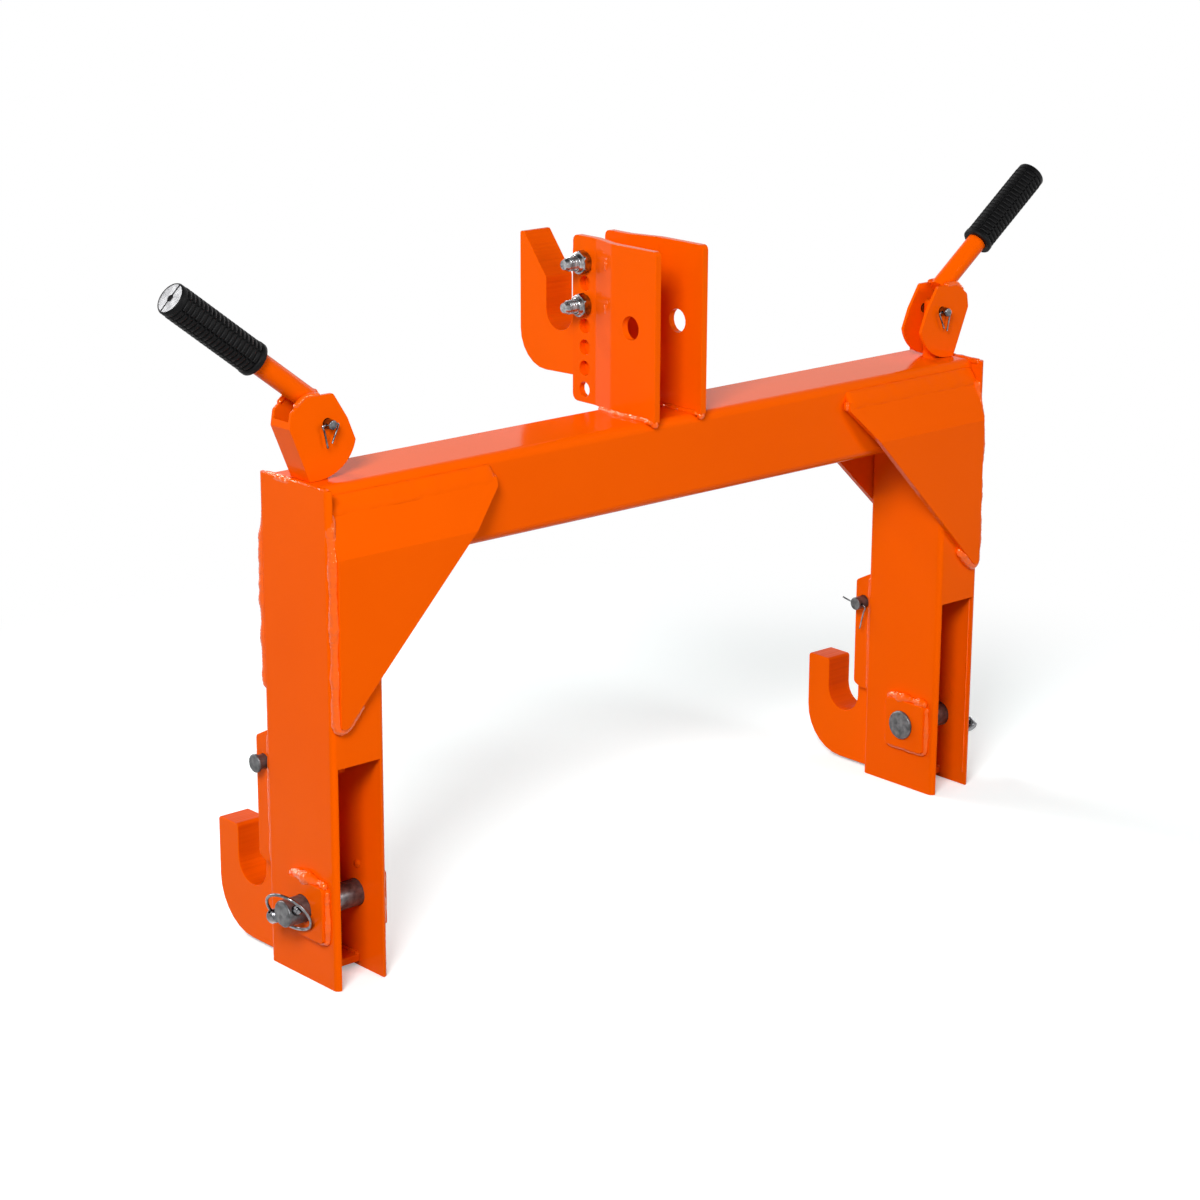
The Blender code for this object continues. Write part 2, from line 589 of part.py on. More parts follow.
def latch_pin(side, name):
    """Pivot pin through both ears: head outboard, clip inboard."""
    chamfer = 0.8 * MM
    head = 2.6 * MM
    top = EAR_OUTSIDE + LATCH_PIN_OUT
    end = -EAR_OUTSIDE - LATCH_PIN_IN
    profile = [(0, end), (LATCH_PIN_RADIUS - chamfer, end), (LATCH_PIN_RADIUS, end + chamfer),
               (LATCH_PIN_RADIUS, top), (LATCH_PIN_HEAD_RADIUS, top),
               (LATCH_PIN_HEAD_RADIUS, top + head - chamfer),
               (LATCH_PIN_HEAD_RADIUS - chamfer, top + head), (0, top + head)]
    origin = (side * HOOK_SPACING / 2, LATCH_Y, LATCH_Z)
    obj = piece(name + "_latch_pin", turned(profile, origin, (side, 0, 0), 16), ZINC_STEEL,
                assembly)
    across_u = end + CLIP_BACK
    place = (side * (HOOK_SPACING / 2 + across_u), LATCH_Y, LATCH_Z)
    reach = LATCH_PIN_RADIUS + OVERCUT
    bore = CLIP_WIRE + GAP
    hole = [(0, -reach), (bore, -reach), (bore, reach), (0, reach)]
    tool(obj, turned(hole, place, (0, 1, 0), 12))
    drawn = [(19, 2), (8, 0), (-6, 0), (-9, -1.5), (-9.5, -4), (-8, -7), (-3.5, -24)]
    points = [(place[0], LATCH_Y + y * MM, LATCH_Z + z * MM) for y, z in smooth(drawn)]
    wire(name + "_latch_pin_clip", points, CLIP_WIRE, ZINC_STEEL, assembly)


def smooth(points, steps=3):
    """Points along a curve that passes through all the given ones."""
    path = []
    padded = [points[0], *points, points[-1]]
    for index in range(len(points) - 1):
        before, here, after, beyond = (Vector(p) for p in padded[index:index + 4])
        for step in range(steps):
            t = step / steps
            path.append(0.5 * (2 * here + (after - before) * t
                               + (2 * before - 5 * here + 4 * after - beyond) * t ** 2
                               + (3 * here - before - 3 * after + beyond) * t ** 3))
    path.append(Vector(points[-1]))
    return path


# Latch rod with its fork, spring and pins

def latch_rod(side, name):
    middle = side * HOOK_SPACING / 2
    carrier = hub(name + "_rod_axis", (middle, 0, HANDLE_Z), assembly)
    fork_top = ROD_PIN_Z + FORK_ABOVE
    collar_top = TUBE_BOTTOM - SPRING_LENGTH
    top = HANDLE_Z + ROD_ABOVE
    chamfer = 1.5 * MM
    bottom = fork_top - OVERCUT
    profile = [(0, bottom), (ROD_RADIUS, bottom), (ROD_RADIUS, collar_top - COLLAR),
               (COLLAR_RADIUS, collar_top - COLLAR), (COLLAR_RADIUS, collar_top),
               (ROD_RADIUS, collar_top), (ROD_RADIUS, top - chamfer),
               (ROD_RADIUS - chamfer, top), (0, top)]
    obj = piece(name + "_latch_rod", turned(profile, (middle, 0, 0), (0, 0, 1)), ORANGE_PAINT,
                carrier)
    half = FORK_DEPTH / 2
    fork = box_outline(-half, half, ROD_PIN_Z - half, fork_top, 3 * MM)
    tool(obj, across(side, fork, -FORK_WIDTH / 2, FORK_WIDTH / 2), "UNION")
    slot = box_outline(-half - OVERCUT, half + OVERCUT, ROD_PIN_Z - 2 * half,
                       ROD_PIN_Z + LATCH_EYE + FORK_SLOT)
    slot_half = LATCH_PLATE / 2 + SLIDE
    tool(obj, across(side, slot, -slot_half, slot_half))
    eye = circle((0, ROD_PIN_Z), ROD_PIN_RADIUS + GAP, 16)
    tool(obj, across(side, eye, -FORK_WIDTH, FORK_WIDTH))
    hole = circle((middle, HANDLE_Z), HANDLE_PIN_RADIUS + GAP, 16)
    tool(obj, prism(hole, "Y", -ROD_RADIUS - OVERCUT, ROD_RADIUS + OVERCUT))

    head = FORK_WIDTH / 2 + GAP
    profile = [(0, -head - 3 * MM), (ROD_PIN_RADIUS, -head - 3 * MM), (ROD_PIN_RADIUS, head),
               (6 * MM, head), (6 * MM, head + 2.5 * MM), (0, head + 2.5 * MM)]
    pin = turned(profile, (middle, 0, ROD_PIN_Z), (side, 0, 0), 12)
    piece(name + "_rod_pin", pin, ZINC_STEEL, carrier)


def spring(side, name):
    """Compression spring between the cross tube and the rod's collar."""
    middle = side * HOOK_SPACING / 2
    end = SPRING_WIRE + GAP
    low = TUBE_BOTTOM - SPRING_LENGTH + end
    high = TUBE_BOTTOM - end
    steps = 10
    count = SPRING_TURNS * steps
    points = []
    for step in range(count + 1):
        share = step / count
        angle = 2 * math.pi * SPRING_TURNS * share
        eased = share - SPRING_CLOSED_ENDS * math.sin(2 * math.pi * share)
        points.append((middle + SPRING_RADIUS * math.cos(angle),
                       SPRING_RADIUS * math.sin(angle), low + (high - low) * eased))
    wire(name + "_latch_spring", points, SPRING_WIRE, DARK_STEEL, assembly)


# Handle: folded bracket, bar and grip

def bar_point(distance, lift=0):
    """Place on the bar's axis, outboard and up from the handle pin."""
    axis = Vector((math.cos(BAR_ANGLE), math.sin(BAR_ANGLE)))
    normal = Vector((-axis.y, axis.x))
    return axis * distance + normal * (BAR_OFFSET + lift)


def cam_outline():
    """Bracket's side view: outboard and up from the handle pin.

    The cam's edge is the curve whose height over the cross tube falls by the
    same amount for each degree that the handle turns.
    """
    foot = CAM_RATE + CAM_FLAT
    outline = [Vector((foot, -CAM_REST))]
    steps = 14
    for step in range(steps + 1):
        turn = CAM_END * step / steps
        height = CAM_REST - CAM_RATE * turn
        inboard = height * math.sin(turn) - CAM_RATE * math.cos(turn)
        down = height * math.cos(turn) + CAM_RATE * math.sin(turn)
        outline.append(Vector((-inboard, -down)))
    shoulder = rounded([
        (-BRACKET_BACK, -8 * MM), (5 * MM - BRACKET_BACK, 2 * MM, 6 * MM),
        (-6 * MM, BRACKET_TOP, 3 * MM), (20 * MM, BRACKET_TOP, 3 * MM),
        (KNEE - 2 * MM, 12 * MM, 3 * MM), (KNEE, 0, 2 * MM), (foot, -CAM_REST)])
    return outline + shoulder[1:-1]


def handle(side, name):
    middle = side * HOOK_SPACING / 2
    rod_axis = bpy.data.objects[name + "_rod_axis"]
    carrier = hub(name + "_handle_pivot", (middle, 0, HANDLE_Z), rod_axis)

    def placed(points):
        return [Vector((middle + side * point.x, HANDLE_Z + point.y)) for point in points]

    obj = piece(name + "_handle_bracket",
                prism(placed(cam_outline()), "Y", -BRACKET_FACE, BRACKET_FACE),
                ORANGE_PAINT, carrier)
    foot = Vector((CAM_RATE + CAM_FLAT, -CAM_REST))
    knee = Vector((KNEE, 0))
    run = (knee - foot).normalized()
    inward = Vector((-run.y, run.x)) * EAR_SHEET
    far = 60 * MM
    hollow = [foot + inward - run * far, knee + inward + run * far,
              knee + run * far + inward.normalized() * 2 * far,
              foot - run * far + inward.normalized() * 2 * far]
    tool(obj, prism(placed(hollow), "Y", -BRACKET_INSIDE, BRACKET_INSIDE))
    hole = circle((0, 0), HANDLE_PIN_RADIUS + GAP, 16)
    tool(obj, prism(placed(hole), "Y", -BRACKET_FACE - OVERCUT, BRACKET_FACE + OVERCUT))

    start = bar_point(BAR_START)
    way = bar_point(1) - bar_point(0)
    direction = (side * way.x, 0, way.y)
    origin = (middle + side * start.x, 0, HANDLE_Z + start.y)
    chamfer = 1 * MM
    end = GRIP_END - GRIP_CAP - GAP - BAR_START
    profile = [(0, 0), (BAR_RADIUS, 0), (BAR_RADIUS, end - chamfer),
               (BAR_RADIUS - chamfer, end), (0, end)]
    piece(name + "_handle_bar", turned(profile, origin, direction), ORANGE_PAINT, carrier)

    near = GRIP_START - BAR_START
    far_end = GRIP_END - BAR_START
    bore = BAR_RADIUS + GAP
    pitch = (far_end - near - 8 * MM) / GRIP_RIBS
    profile = [(bore, near), (GRIP_RADIUS, near), (GRIP_RADIUS, near + 4 * MM)]
    for rib in range(GRIP_RIBS):
        base = near + 4 * MM + rib * pitch
        profile += [(GRIP_RADIUS - GRIP_GROOVE, base + 0.35 * pitch),
                    (GRIP_RADIUS, base + 0.7 * pitch)]
    profile += [(GRIP_RADIUS, far_end - 2 * MM), (GRIP_RADIUS - 2 * MM, far_end),
                (GRIP_VENT, far_end), (GRIP_VENT, far_end - GRIP_CAP),
                (bore, far_end - GRIP_CAP)]
    piece(name + "_handle_grip", turned(profile, origin, direction, 14), BLACK_RUBBER, carrier)

    head = BRACKET_FACE + GAP
    tip = BRACKET_FACE + HANDLE_PIN_OUT
    profile = [(0, -tip), (HANDLE_PIN_RADIUS - chamfer, -tip), (HANDLE_PIN_RADIUS, chamfer - tip),
               (HANDLE_PIN_RADIUS, head), (6.2 * MM, head), (6.2 * MM, head + 2.5 * MM),
               (0, head + 2.5 * MM)]
    pin = piece(name + "_handle_pin", turned(profile, (middle, 0, HANDLE_Z), (0, 1, 0), 14),
                ZINC_STEEL, carrier)
    place = (middle, CLIP_BACK - tip, HANDLE_Z)
    reach = HANDLE_PIN_RADIUS + OVERCUT
    bore = CLIP_WIRE + GAP
    hole = [(0, -reach), (bore, -reach), (bore, reach), (0, reach)]
    tool(pin, turned(hole, place, (1, 0, 0), 12))
    drawn = [(-1, -15), (-6, -4.5), (-7.5, -1), (-5, 0), (5, 0), (7.5, -1), (6, -4.5), (3, -18)]
    points = [(middle + side * x * MM, place[1], HANDLE_Z + z * MM) for x, z in smooth(drawn)]
    wire(name + "_handle_pin_clip", points, CLIP_WIRE, ZINC_STEEL, carrier)


# Mast and top hook

def mast_plate(side, name):
    """Plate with two bends: wide apart at the top link, close on the top hook."""
    wide = MAST_GAP / 2
    narrow = FLANGE_FACE - MAST_PLATE
    plan = rounded([
        (wide, -MAST_FRONT), (wide + MAST_PLATE, -MAST_FRONT),
        (wide + MAST_PLATE, JOG_START, 12 * MM), (FLANGE_FACE, JOG_END, 6 * MM),
        (FLANGE_FACE, MAST_REAR), (narrow, MAST_REAR), (narrow, JOG_END, 12 * MM),
        (wide, JOG_START, 6 * MM)], 5)
    low = FRAME_HEIGHT + GAP
    bent = prism([Vector((side * point.x, point.y)) for point in plan], "Z", low - OVERCUT,
                 MAST_TOP + OVERCUT)
    obj = piece(name + "_mast_plate", bent, ORANGE_PAINT, assembly)
    outline = rounded([
        (-MAST_FRONT - OVERCUT, low), (MAST_REAR, low, 6 * MM), (MAST_REAR, MAST_TOP, 5 * MM),
        (-MAST_FRONT, MAST_TOP, 4 * MM), (-MAST_FRONT, low + OVERCUT),
        (-MAST_FRONT - OVERCUT, low + OVERCUT)])
    ends = sorted((side * (narrow - OVERCUT), side * (wide + MAST_PLATE + OVERCUT)))
    tool(obj, prism(outline, "X", *ends), "INTERSECT")
    tool(obj, prism(circle((TOP_LINK_Y, TOP_LINK_Z), TOP_LINK_RADIUS), "X", *ends))
    for index in range(ADJUST_COUNT):
        hole = circle((ADJUST_Y, ADJUST_TOP - index * ADJUST_PITCH), ADJUST_RADIUS, 12)
        tool(obj, prism(hole, "X", *ends))


def top_hook():
    inner = TOP_THROAT_Y - TOP_THROAT_RADIUS
    outer = TOP_THROAT_Y + TOP_THROAT_RADIUS
    outline = rounded([
        (JOG_END + TOP_SHANK_GAP, TOP_HOOK_BOTTOM),
        (TOP_TIP_Y, TOP_HOOK_BOTTOM - TOP_HOOK_FALL, TOP_HOOK_BACK_RADIUS),
        (TOP_TIP_Y, TOP_TIP_TOP, 2 * MM), (TOP_TIP_Y - 5 * MM, TOP_TIP_TOP, 1.5 * MM),
        (outer, TOP_LEAD_IN, 4 * MM), (outer, TOP_THROAT_BOTTOM, TOP_THROAT_RADIUS),
        (inner, TOP_THROAT_BOTTOM, TOP_THROAT_RADIUS), (inner, TOP_SHANK_TOP, 5 * MM),
        (JOG_END + TOP_SHANK_GAP, TOP_SHANK_TOP, 3 * MM)], 6)
    half = TOP_HOOK_PLATE / 2
    obj = piece("top_hook", prism(outline, "X", -half, half), ORANGE_PAINT, assembly)
    for index in BOLT_HOLES:
        hole = circle((ADJUST_Y, ADJUST_TOP - index * ADJUST_PITCH), BOLT_RADIUS + GAP, 16)
        tool(obj, prism(hole, "X", -half - OVERCUT, half + OVERCUT))


def hook_bolt(name, index):
    """Bolt through mast and hook, its lock nut on the left."""
    height = ADJUST_TOP - index * ADJUST_PITCH
    seat = FLANGE_FACE + GAP
    nut_end = -seat - NUT_HEIGHT
    tip = nut_end - BOLT_END
    chamfer = 1.2 * MM
    profile = [(0, tip), (BOLT_RADIUS - chamfer, tip), (BOLT_RADIUS, tip + chamfer),
               (BOLT_RADIUS, seat + BOLT_HEAD / 2), (0, seat + BOLT_HEAD / 2)]
    shank = turned(profile, (0, ADJUST_Y, height), (1, 0, 0), 16)
    bolt = piece(name + "_hook_bolt", shank, ZINC_STEEL, assembly)
    head = prism(hexagon((ADJUST_Y, height), NUT_FLATS), "X", seat, seat + BOLT_HEAD)
    tool(bolt, head, "UNION")
    shell = prism(hexagon((ADJUST_Y, height), NUT_FLATS), "X", nut_end + NUT_CROWN, -seat)
    nut = piece(name + "_hook_nut", shell, ZINC_STEEL, assembly)
    crown = prism(circle((ADJUST_Y, height), NUT_CROWN_RADIUS, 16), "X", nut_end,
                  nut_end + NUT_CROWN + OVERCUT)
    tool(nut, crown, "UNION")
    bore = prism(circle((ADJUST_Y, height), BOLT_RADIUS + GAP, 16), "X", nut_end - OVERCUT,
                 -seat + OVERCUT)
    tool(nut, bore)


cross_tube()
for side, name in ((-1, "left"), (1, "right")):
    leg(side, name)
    gusset(side, name, -1)
    gusset(side, name, 1)
    lower_hook(side, name)
    for word, flip in (("outer", 1), ("inner", -1)):
        ear(side, name, word, flip)
        pin_pad(side, name, word, flip)
    tie_plate(side, name)
    link_pin(side, name)
    linchpin(side, name)
    snap_ring(side, name)
    latch(side, name)
    latch_pin(side, name)
    latch_rod(side, name)
    spring(side, name)
    handle(side, name)
    mast_plate(side, name)
top_hook()
hook_bolt("upper", BOLT_HOLES[0])
hook_bolt("lower", BOLT_HOLES[1])

assembly.location.y = -Y_CENTRE
bpy.context.view_layer.update()
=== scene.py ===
import json
import math

import bmesh
import bpy
from mathutils import Matrix, Vector, noise


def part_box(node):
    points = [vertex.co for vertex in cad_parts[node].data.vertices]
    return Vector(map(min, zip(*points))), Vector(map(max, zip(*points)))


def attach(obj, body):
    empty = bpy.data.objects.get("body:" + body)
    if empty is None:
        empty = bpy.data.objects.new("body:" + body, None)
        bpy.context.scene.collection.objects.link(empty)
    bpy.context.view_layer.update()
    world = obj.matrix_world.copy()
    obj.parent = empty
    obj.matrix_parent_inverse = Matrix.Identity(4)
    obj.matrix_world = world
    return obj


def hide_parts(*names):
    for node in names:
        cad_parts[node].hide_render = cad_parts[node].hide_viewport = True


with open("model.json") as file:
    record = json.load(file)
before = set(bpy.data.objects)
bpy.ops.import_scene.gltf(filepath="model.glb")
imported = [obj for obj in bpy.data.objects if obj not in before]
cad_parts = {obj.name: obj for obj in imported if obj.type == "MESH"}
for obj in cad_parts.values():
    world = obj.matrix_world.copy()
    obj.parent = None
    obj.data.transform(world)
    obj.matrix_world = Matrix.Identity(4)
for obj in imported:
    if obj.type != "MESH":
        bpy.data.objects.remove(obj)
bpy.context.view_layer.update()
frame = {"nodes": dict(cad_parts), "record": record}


# Camera: a long lens in front of the left leg, a little above the hitch and
# looking down at it, at the photograph's viewing angle.

CAMERA_PLACE = Vector((-1.67497, -1.87325, 0.96852))
CAMERA_YAW = 0.72633        # radians from +Y towards +X
CAMERA_PITCH = 0.28645      # radians below the horizon
CAMERA_ROLL = 0.00477
CAMERA_LENS = 91.53         # mm
SENSOR_WIDTH = 36           # mm

ahead = Vector((math.sin(CAMERA_YAW) * math.cos(CAMERA_PITCH),
                math.cos(CAMERA_YAW) * math.cos(CAMERA_PITCH), -math.sin(CAMERA_PITCH)))
level = Vector((math.cos(CAMERA_YAW), -math.sin(CAMERA_YAW), 0))
upward = level.cross(ahead)
right = level * math.cos(CAMERA_ROLL) + upward * math.sin(CAMERA_ROLL)
top = upward * math.cos(CAMERA_ROLL) - level * math.sin(CAMERA_ROLL)
aim = Matrix((right, top, -ahead)).transposed().to_4x4()
lens = bpy.data.cameras.new("photo_camera")
lens.lens = CAMERA_LENS
lens.sensor_width = SENSOR_WIDTH
camera = bpy.data.objects.new("photo_camera", lens)
camera.matrix_world = Matrix.Translation(CAMERA_PLACE) @ aim
bpy.context.collection.objects.link(camera)
bpy.context.scene.camera = camera
bpy.context.scene.view_settings.view_transform = "Standard"


# Floor: a wide grey board just under the hitch, on which its shadows fall. Where
# it is looked at it is nearly white, and further out it fades to plain white.

MM = 0.001
FLOOR_Z = -0.2 * MM
FLOOR_HALF = 12             # metres from its middle to its rims
FLOOR_COLOUR = (0.36, 0.36, 0.36)
FLOOR_SEEN = (0.87, 0.93, 0.93)     # the same floor where it is looked at
FLOOR_LIFT = 0.30           # light added there, so that it is white beside its shadows
FLOOR_DULL = 0.85
FLOOR_PATCHES = 3           # to the metre, about, as for every grain below
FLOOR_GRAIN = 90
FLOOR_DEPTH = 0.05 * MM
FADE_START = 0.50           # metres from the middle, where the fade to white starts
FADE_END = 0.95
WHITE = (1, 1, 1, 1)


class Wave:
    """A socket's value, on which sums and products add their Math nodes."""

    def __init__(self, tree, socket):
        self.tree = tree
        self.socket = socket

    def math(self, operation, first, second):
        node = self.tree.nodes.new("ShaderNodeMath")
        node.operation = operation
        for socket, value in zip(node.inputs, (first, second)):
            feed(self.tree, socket, value)
        return Wave(self.tree, node.outputs[0])

    def __add__(self, other):
        return self.math("ADD", self, other)

    def __radd__(self, other):
        return self.math("ADD", other, self)

    def __sub__(self, other):
        return self.math("SUBTRACT", self, other)

    def __rsub__(self, other):
        return self.math("SUBTRACT", other, self)

    def __mul__(self, other):
        return self.math("MULTIPLY", self, other)

    def __rmul__(self, other):
        return self.math("MULTIPLY", other, self)


def feed(tree, socket, value):
    """Link a value to a socket, or set the socket to a plain number or colour."""
    if isinstance(value, Wave):
        tree.links.new(value.socket, socket)
    else:
        socket.default_value = value


class Nodes:
    """A node tree and the ways to add to it."""

    def __init__(self, tree):
        self.tree = tree

    def node(self, kind, settings, inputs, output=0):
        """Add a node, with its settings first, and give one of its outputs if it has any."""
        node = self.tree.nodes.new(kind)
        for name, value in settings.items():
            setattr(node, name, value)
        for name, value in inputs.items():
            feed(self.tree, node.inputs[name], value)
        return Wave(self.tree, node.outputs[output]) if node.outputs else None

    def looked_at(self):
        """1 where something is seen, directly, in a reflection or through glass, else 0."""
        ray = "ShaderNodeLightPath"
        return (self.node(ray, {}, {}, "Is Camera Ray") + self.node(ray, {}, {}, "Is Glossy Ray")
                + self.node(ray, {}, {}, "Is Transmission Ray"))


class Finish(Nodes):
    """A material, its shader and the nodes that feed it."""

    def __init__(self, name, metallic=0.0):
        self.material = bpy.data.materials.new(name)
        self.material.use_nodes = True
        super().__init__(self.material.node_tree)
        self.shader = self.tree.nodes["Principled BSDF"]
        self.shader.inputs["Metallic"].default_value = metallic

    def place(self):
        return self.node("ShaderNodeTexCoord", {}, {}, "Object")

    def grain(self, scale, detail=2.0, stretch=(1, 1, 1)):
        spot = self.node("ShaderNodeMapping", {}, {"Vector": self.place(), "Scale": stretch})
        return self.node("ShaderNodeTexNoise", {},
                         {"Vector": spot, "Scale": scale, "Detail": detail})

    def blend(self, factor, first, second):
        return self.node("ShaderNodeMix", {"data_type": "RGBA"},
                         {0: factor, 6: (*first, 1), 7: (*second, 1)}, 2)

    def surface(self, colour, roughness, height, depth):
        """Colour, roughness and a bump whose full height is depth metres."""
        feed(self.tree, self.shader.inputs["Base Color"], colour)
        feed(self.tree, self.shader.inputs["Roughness"], roughness)
        bump = self.node("ShaderNodeBump", {},
                         {"Height": height, "Distance": depth, "Strength": 1.0})
        feed(self.tree, self.shader.inputs["Normal"], bump)


def floor_paint():
    ground = Finish("floor_paint")
    seen = ground.looked_at()
    ground.surface(ground.blend(seen, FLOOR_COLOUR, FLOOR_SEEN),
                   FLOOR_DULL + 0.1 * ground.grain(FLOOR_PATCHES), ground.grain(FLOOR_GRAIN),
                   FLOOR_DEPTH)
    ground.shader.inputs["Specular IOR Level"].default_value = 0.0
    reach = ground.node("ShaderNodeVectorMath", {"operation": "LENGTH"},
                        {0: ground.place()}, "Value")
    fade = ground.node("ShaderNodeMapRange", {"interpolation_type": "SMOOTHSTEP"},
                       {"Value": reach, "From Min": FADE_START, "From Max": FADE_END})
    glow = "ShaderNodeEmission"
    lift = ground.node(glow, {}, {"Color": WHITE, "Strength": FLOOR_LIFT * seen})
    painted = Wave(ground.tree, ground.shader.outputs[0])
    lit = ground.node("ShaderNodeAddShader", {}, {0: painted, 1: lift})
    plain = ground.node(glow, {}, {"Color": WHITE, "Strength": 1.0})
    both = ground.node("ShaderNodeMixShader", {}, {0: fade * seen, 1: lit, 2: plain})
    feed(ground.tree, ground.tree.nodes["Material Output"].inputs["Surface"], both)
    return ground.material


bm = bmesh.new()
bmesh.ops.create_grid(bm, x_segments=1, y_segments=1, size=FLOOR_HALF)
bmesh.ops.translate(bm, vec=(0, 0, FLOOR_Z), verts=bm.verts)
mesh = bpy.data.meshes.new("floor")
bm.to_mesh(mesh)
bm.free()
mesh.materials.append(floor_paint())
floor = bpy.data.objects.new("floor", mesh)
bpy.context.collection.objects.link(floor)


# Room: white walls, which light the hitch only a little, a dim ceiling, and five
# soft lamps. The key lamp stands high in front on the left. The glint lamp, high
# behind, shines on the welds, and the others fill the front, back and right.

WALL_LIGHT = 0.24           # what the walls give the hitch, where 1 is white
CEILING_DIM = 0.9           # how much darker it is straight above
CEILING_START = 0.4         # upward part of a direction where the walls start to dim
LAMP_AIM = Vector((0, 0, 0.25))
LAMPS = (                   # place and width in metres, power in watts
    ("key_lamp", (-2.3, -1.6, 2.15), 1.0, 95),
    ("glint_lamp", (-0.3, 2.2, 2.4), 0.7, 26),
    ("front_lamp", (0.9, -2.9, 1.3), 1.0, 29),
    ("back_lamp", (-1.2, 2.8, 0.9), 1.4, 34),
    ("side_lamp", (3.0, 0.4, 0.8), 1.4, 16))

world = bpy.data.worlds.new("studio")
world.use_nodes = True
bpy.context.scene.world = world
room = Nodes(world.node_tree)
height = room.node("ShaderNodeVectorMath", {"operation": "DOT_PRODUCT"},
                   {0: room.node("ShaderNodeTexCoord", {}, {}, "Generated"), 1: (0, 0, 1)},
                   "Value")
above = room.node("ShaderNodeMapRange", {"interpolation_type": "SMOOTHSTEP"},
                  {"Value": height, "From Min": CEILING_START})
walls = room.tree.nodes["Background"]
feed(room.tree, walls.inputs["Color"], WHITE)
feed(room.tree, walls.inputs["Strength"],
     (WALL_LIGHT + (1 - WALL_LIGHT) * room.looked_at()) * (1 - CEILING_DIM * above))

for name, place, width, power in LAMPS:
    light = bpy.data.lights.new(name, "AREA")
    light.size = width
    light.energy = power
    lamp = bpy.data.objects.new(name, light)
    lamp.location = place
    lamp.rotation_euler = (LAMP_AIM - lamp.location).to_track_quat("-Z", "Y").to_euler()
    bpy.context.collection.objects.link(lamp)


# Welded frame: rectangular tube and flame cut plate, with the handles and latch
# rods, all of it powder coated orange, so that the coat is glossy and softens
# every edge.

SIDES = ((-1, "left"), (1, "right"))
ORANGE = (0.92, 0.113, 0.0)
ORANGE_THIN = (0.86, 0.098, 0.0)    # where the coat is thinner
RESIN_TINT = (1.0, 0.22, 0.04, 1)   # colour of a reflection seen straight on
RESIN_IOR = 1.13
COAT_DULL = 0.08
CLOUD_GRAIN = 9             # patches where the coat is thinner and duller
CLOUD_DULL = 0.10
SWELL_GRAIN = 70            # slow waves of the melted coat
SWELL_DEPTH = 0.04 * MM
PEEL_GRAIN = 240            # fine waves on them
PEEL_SHARE = 0.1
EDGE_RADIUS = 0.8 * MM
EDGE_STEPS = 3
SHARP = 50                  # degrees: edges sharper than this are rounded
GUSSET_EDGE = 1.6 * MM
GUSSET_SHARP = 14           # so that a gusset's bends are rounded too
FACET_GAP = 0.01 * MM       # corners of facets that are nearer are one corner
FLAT = 0.4                  # degrees: facets nearer to one plane are one face
FACE_WEIGHT = 80            # large faces stay flat beside their rounded edges


def orange_finish(name, tint, ior):
    """Finish that reflects as the orange coat does, with no surface on it yet."""
    coat = Finish(name)
    coat.shader.inputs["Specular Tint"].default_value = tint
    coat.shader.inputs["IOR"].default_value = ior
    return coat


def powder_coat(name, tint=RESIN_TINT, ior=RESIN_IOR, swell=SWELL_GRAIN, depth=SWELL_DEPTH,
                dull=COAT_DULL):
    coat = orange_finish(name, tint, ior)
    cloud = coat.grain(CLOUD_GRAIN, 3)
    flow = coat.grain(swell, 2)
    peel = coat.grain(PEEL_GRAIN, 1)
    coat.surface(coat.blend(cloud, ORANGE, ORANGE_THIN), dull + CLOUD_DULL * cloud,
                 (1 - PEEL_SHARE) * flow + PEEL_SHARE * peel, depth)
    return coat.material


def even_shading():
    """Node group that joins a node's facets and drops their flat shading."""
    group = bpy.data.node_groups.new("even_shading", "GeometryNodeTree")
    for way in ("INPUT", "OUTPUT"):
        group.interface.new_socket("Geometry", in_out=way, socket_type="NodeSocketGeometry")
    steps = Nodes(group)
    faceted = steps.node("NodeGroupInput", {}, {})
    joined = steps.node("GeometryNodeMergeByDistance", {},
                        {"Geometry": faceted, "Distance": FACET_GAP})
    shaded = steps.node("GeometryNodeSetMeshNormal", {},
                        {"Mesh": joined, "Remove Custom": True, "Edge Sharpness": False,
                         "Face Sharpness": False})
    steps.node("NodeGroupOutput", {}, {0: shaded})
    return group


nodes = frame["nodes"]
shading = even_shading()


def dress(node, material, edge=EDGE_RADIUS, sharp=SHARP, trim=0.0):
    """Give a CAD node its finish, round its sharp edges and trim its skin."""
    obj = nodes[node]
    for place in obj.material_slots:
        place.material = material
    even = obj.modifiers.new("even", "NODES")
    even.node_group = shading
    flat = obj.modifiers.new("flat", "DECIMATE")
    flat.decimate_type = "DISSOLVE"
    flat.angle_limit = math.radians(FLAT)
    softened = obj.modifiers.new("edge", "BEVEL")
    softened.width = edge
    softened.segments = EDGE_STEPS
    softened.limit_method = "ANGLE"
    softened.angle_limit = math.radians(sharp)
    if trim:
        thinner = obj.modifiers.new("trim", "DISPLACE")
        thinner.strength = -trim
        thinner.mid_level = 0
    weighed = obj.modifiers.new("weighed", "WEIGHTED_NORMAL")
    weighed.weight = FACE_WEIGHT


orange = powder_coat("orange_powder_coat")
dress("cross_tube", orange)
for side, name in SIDES:
    for part in ("leg", "outer_ear", "inner_ear", "outer_pin_pad", "inner_pin_pad", "tie_plate",
                 "mast_plate", "handle_bracket", "handle_bar", "latch_rod"):
        dress(name + "_" + part, orange)
    for part in ("front_gusset", "rear_gusset"):
        dress(name + "_" + part, orange, GUSSET_EDGE, GUSSET_SHARP)


# Hooks and latches: thick plate cut by flame, whose rims keep the fine lines
# of the cut, running across the plate, under the same orange coat.

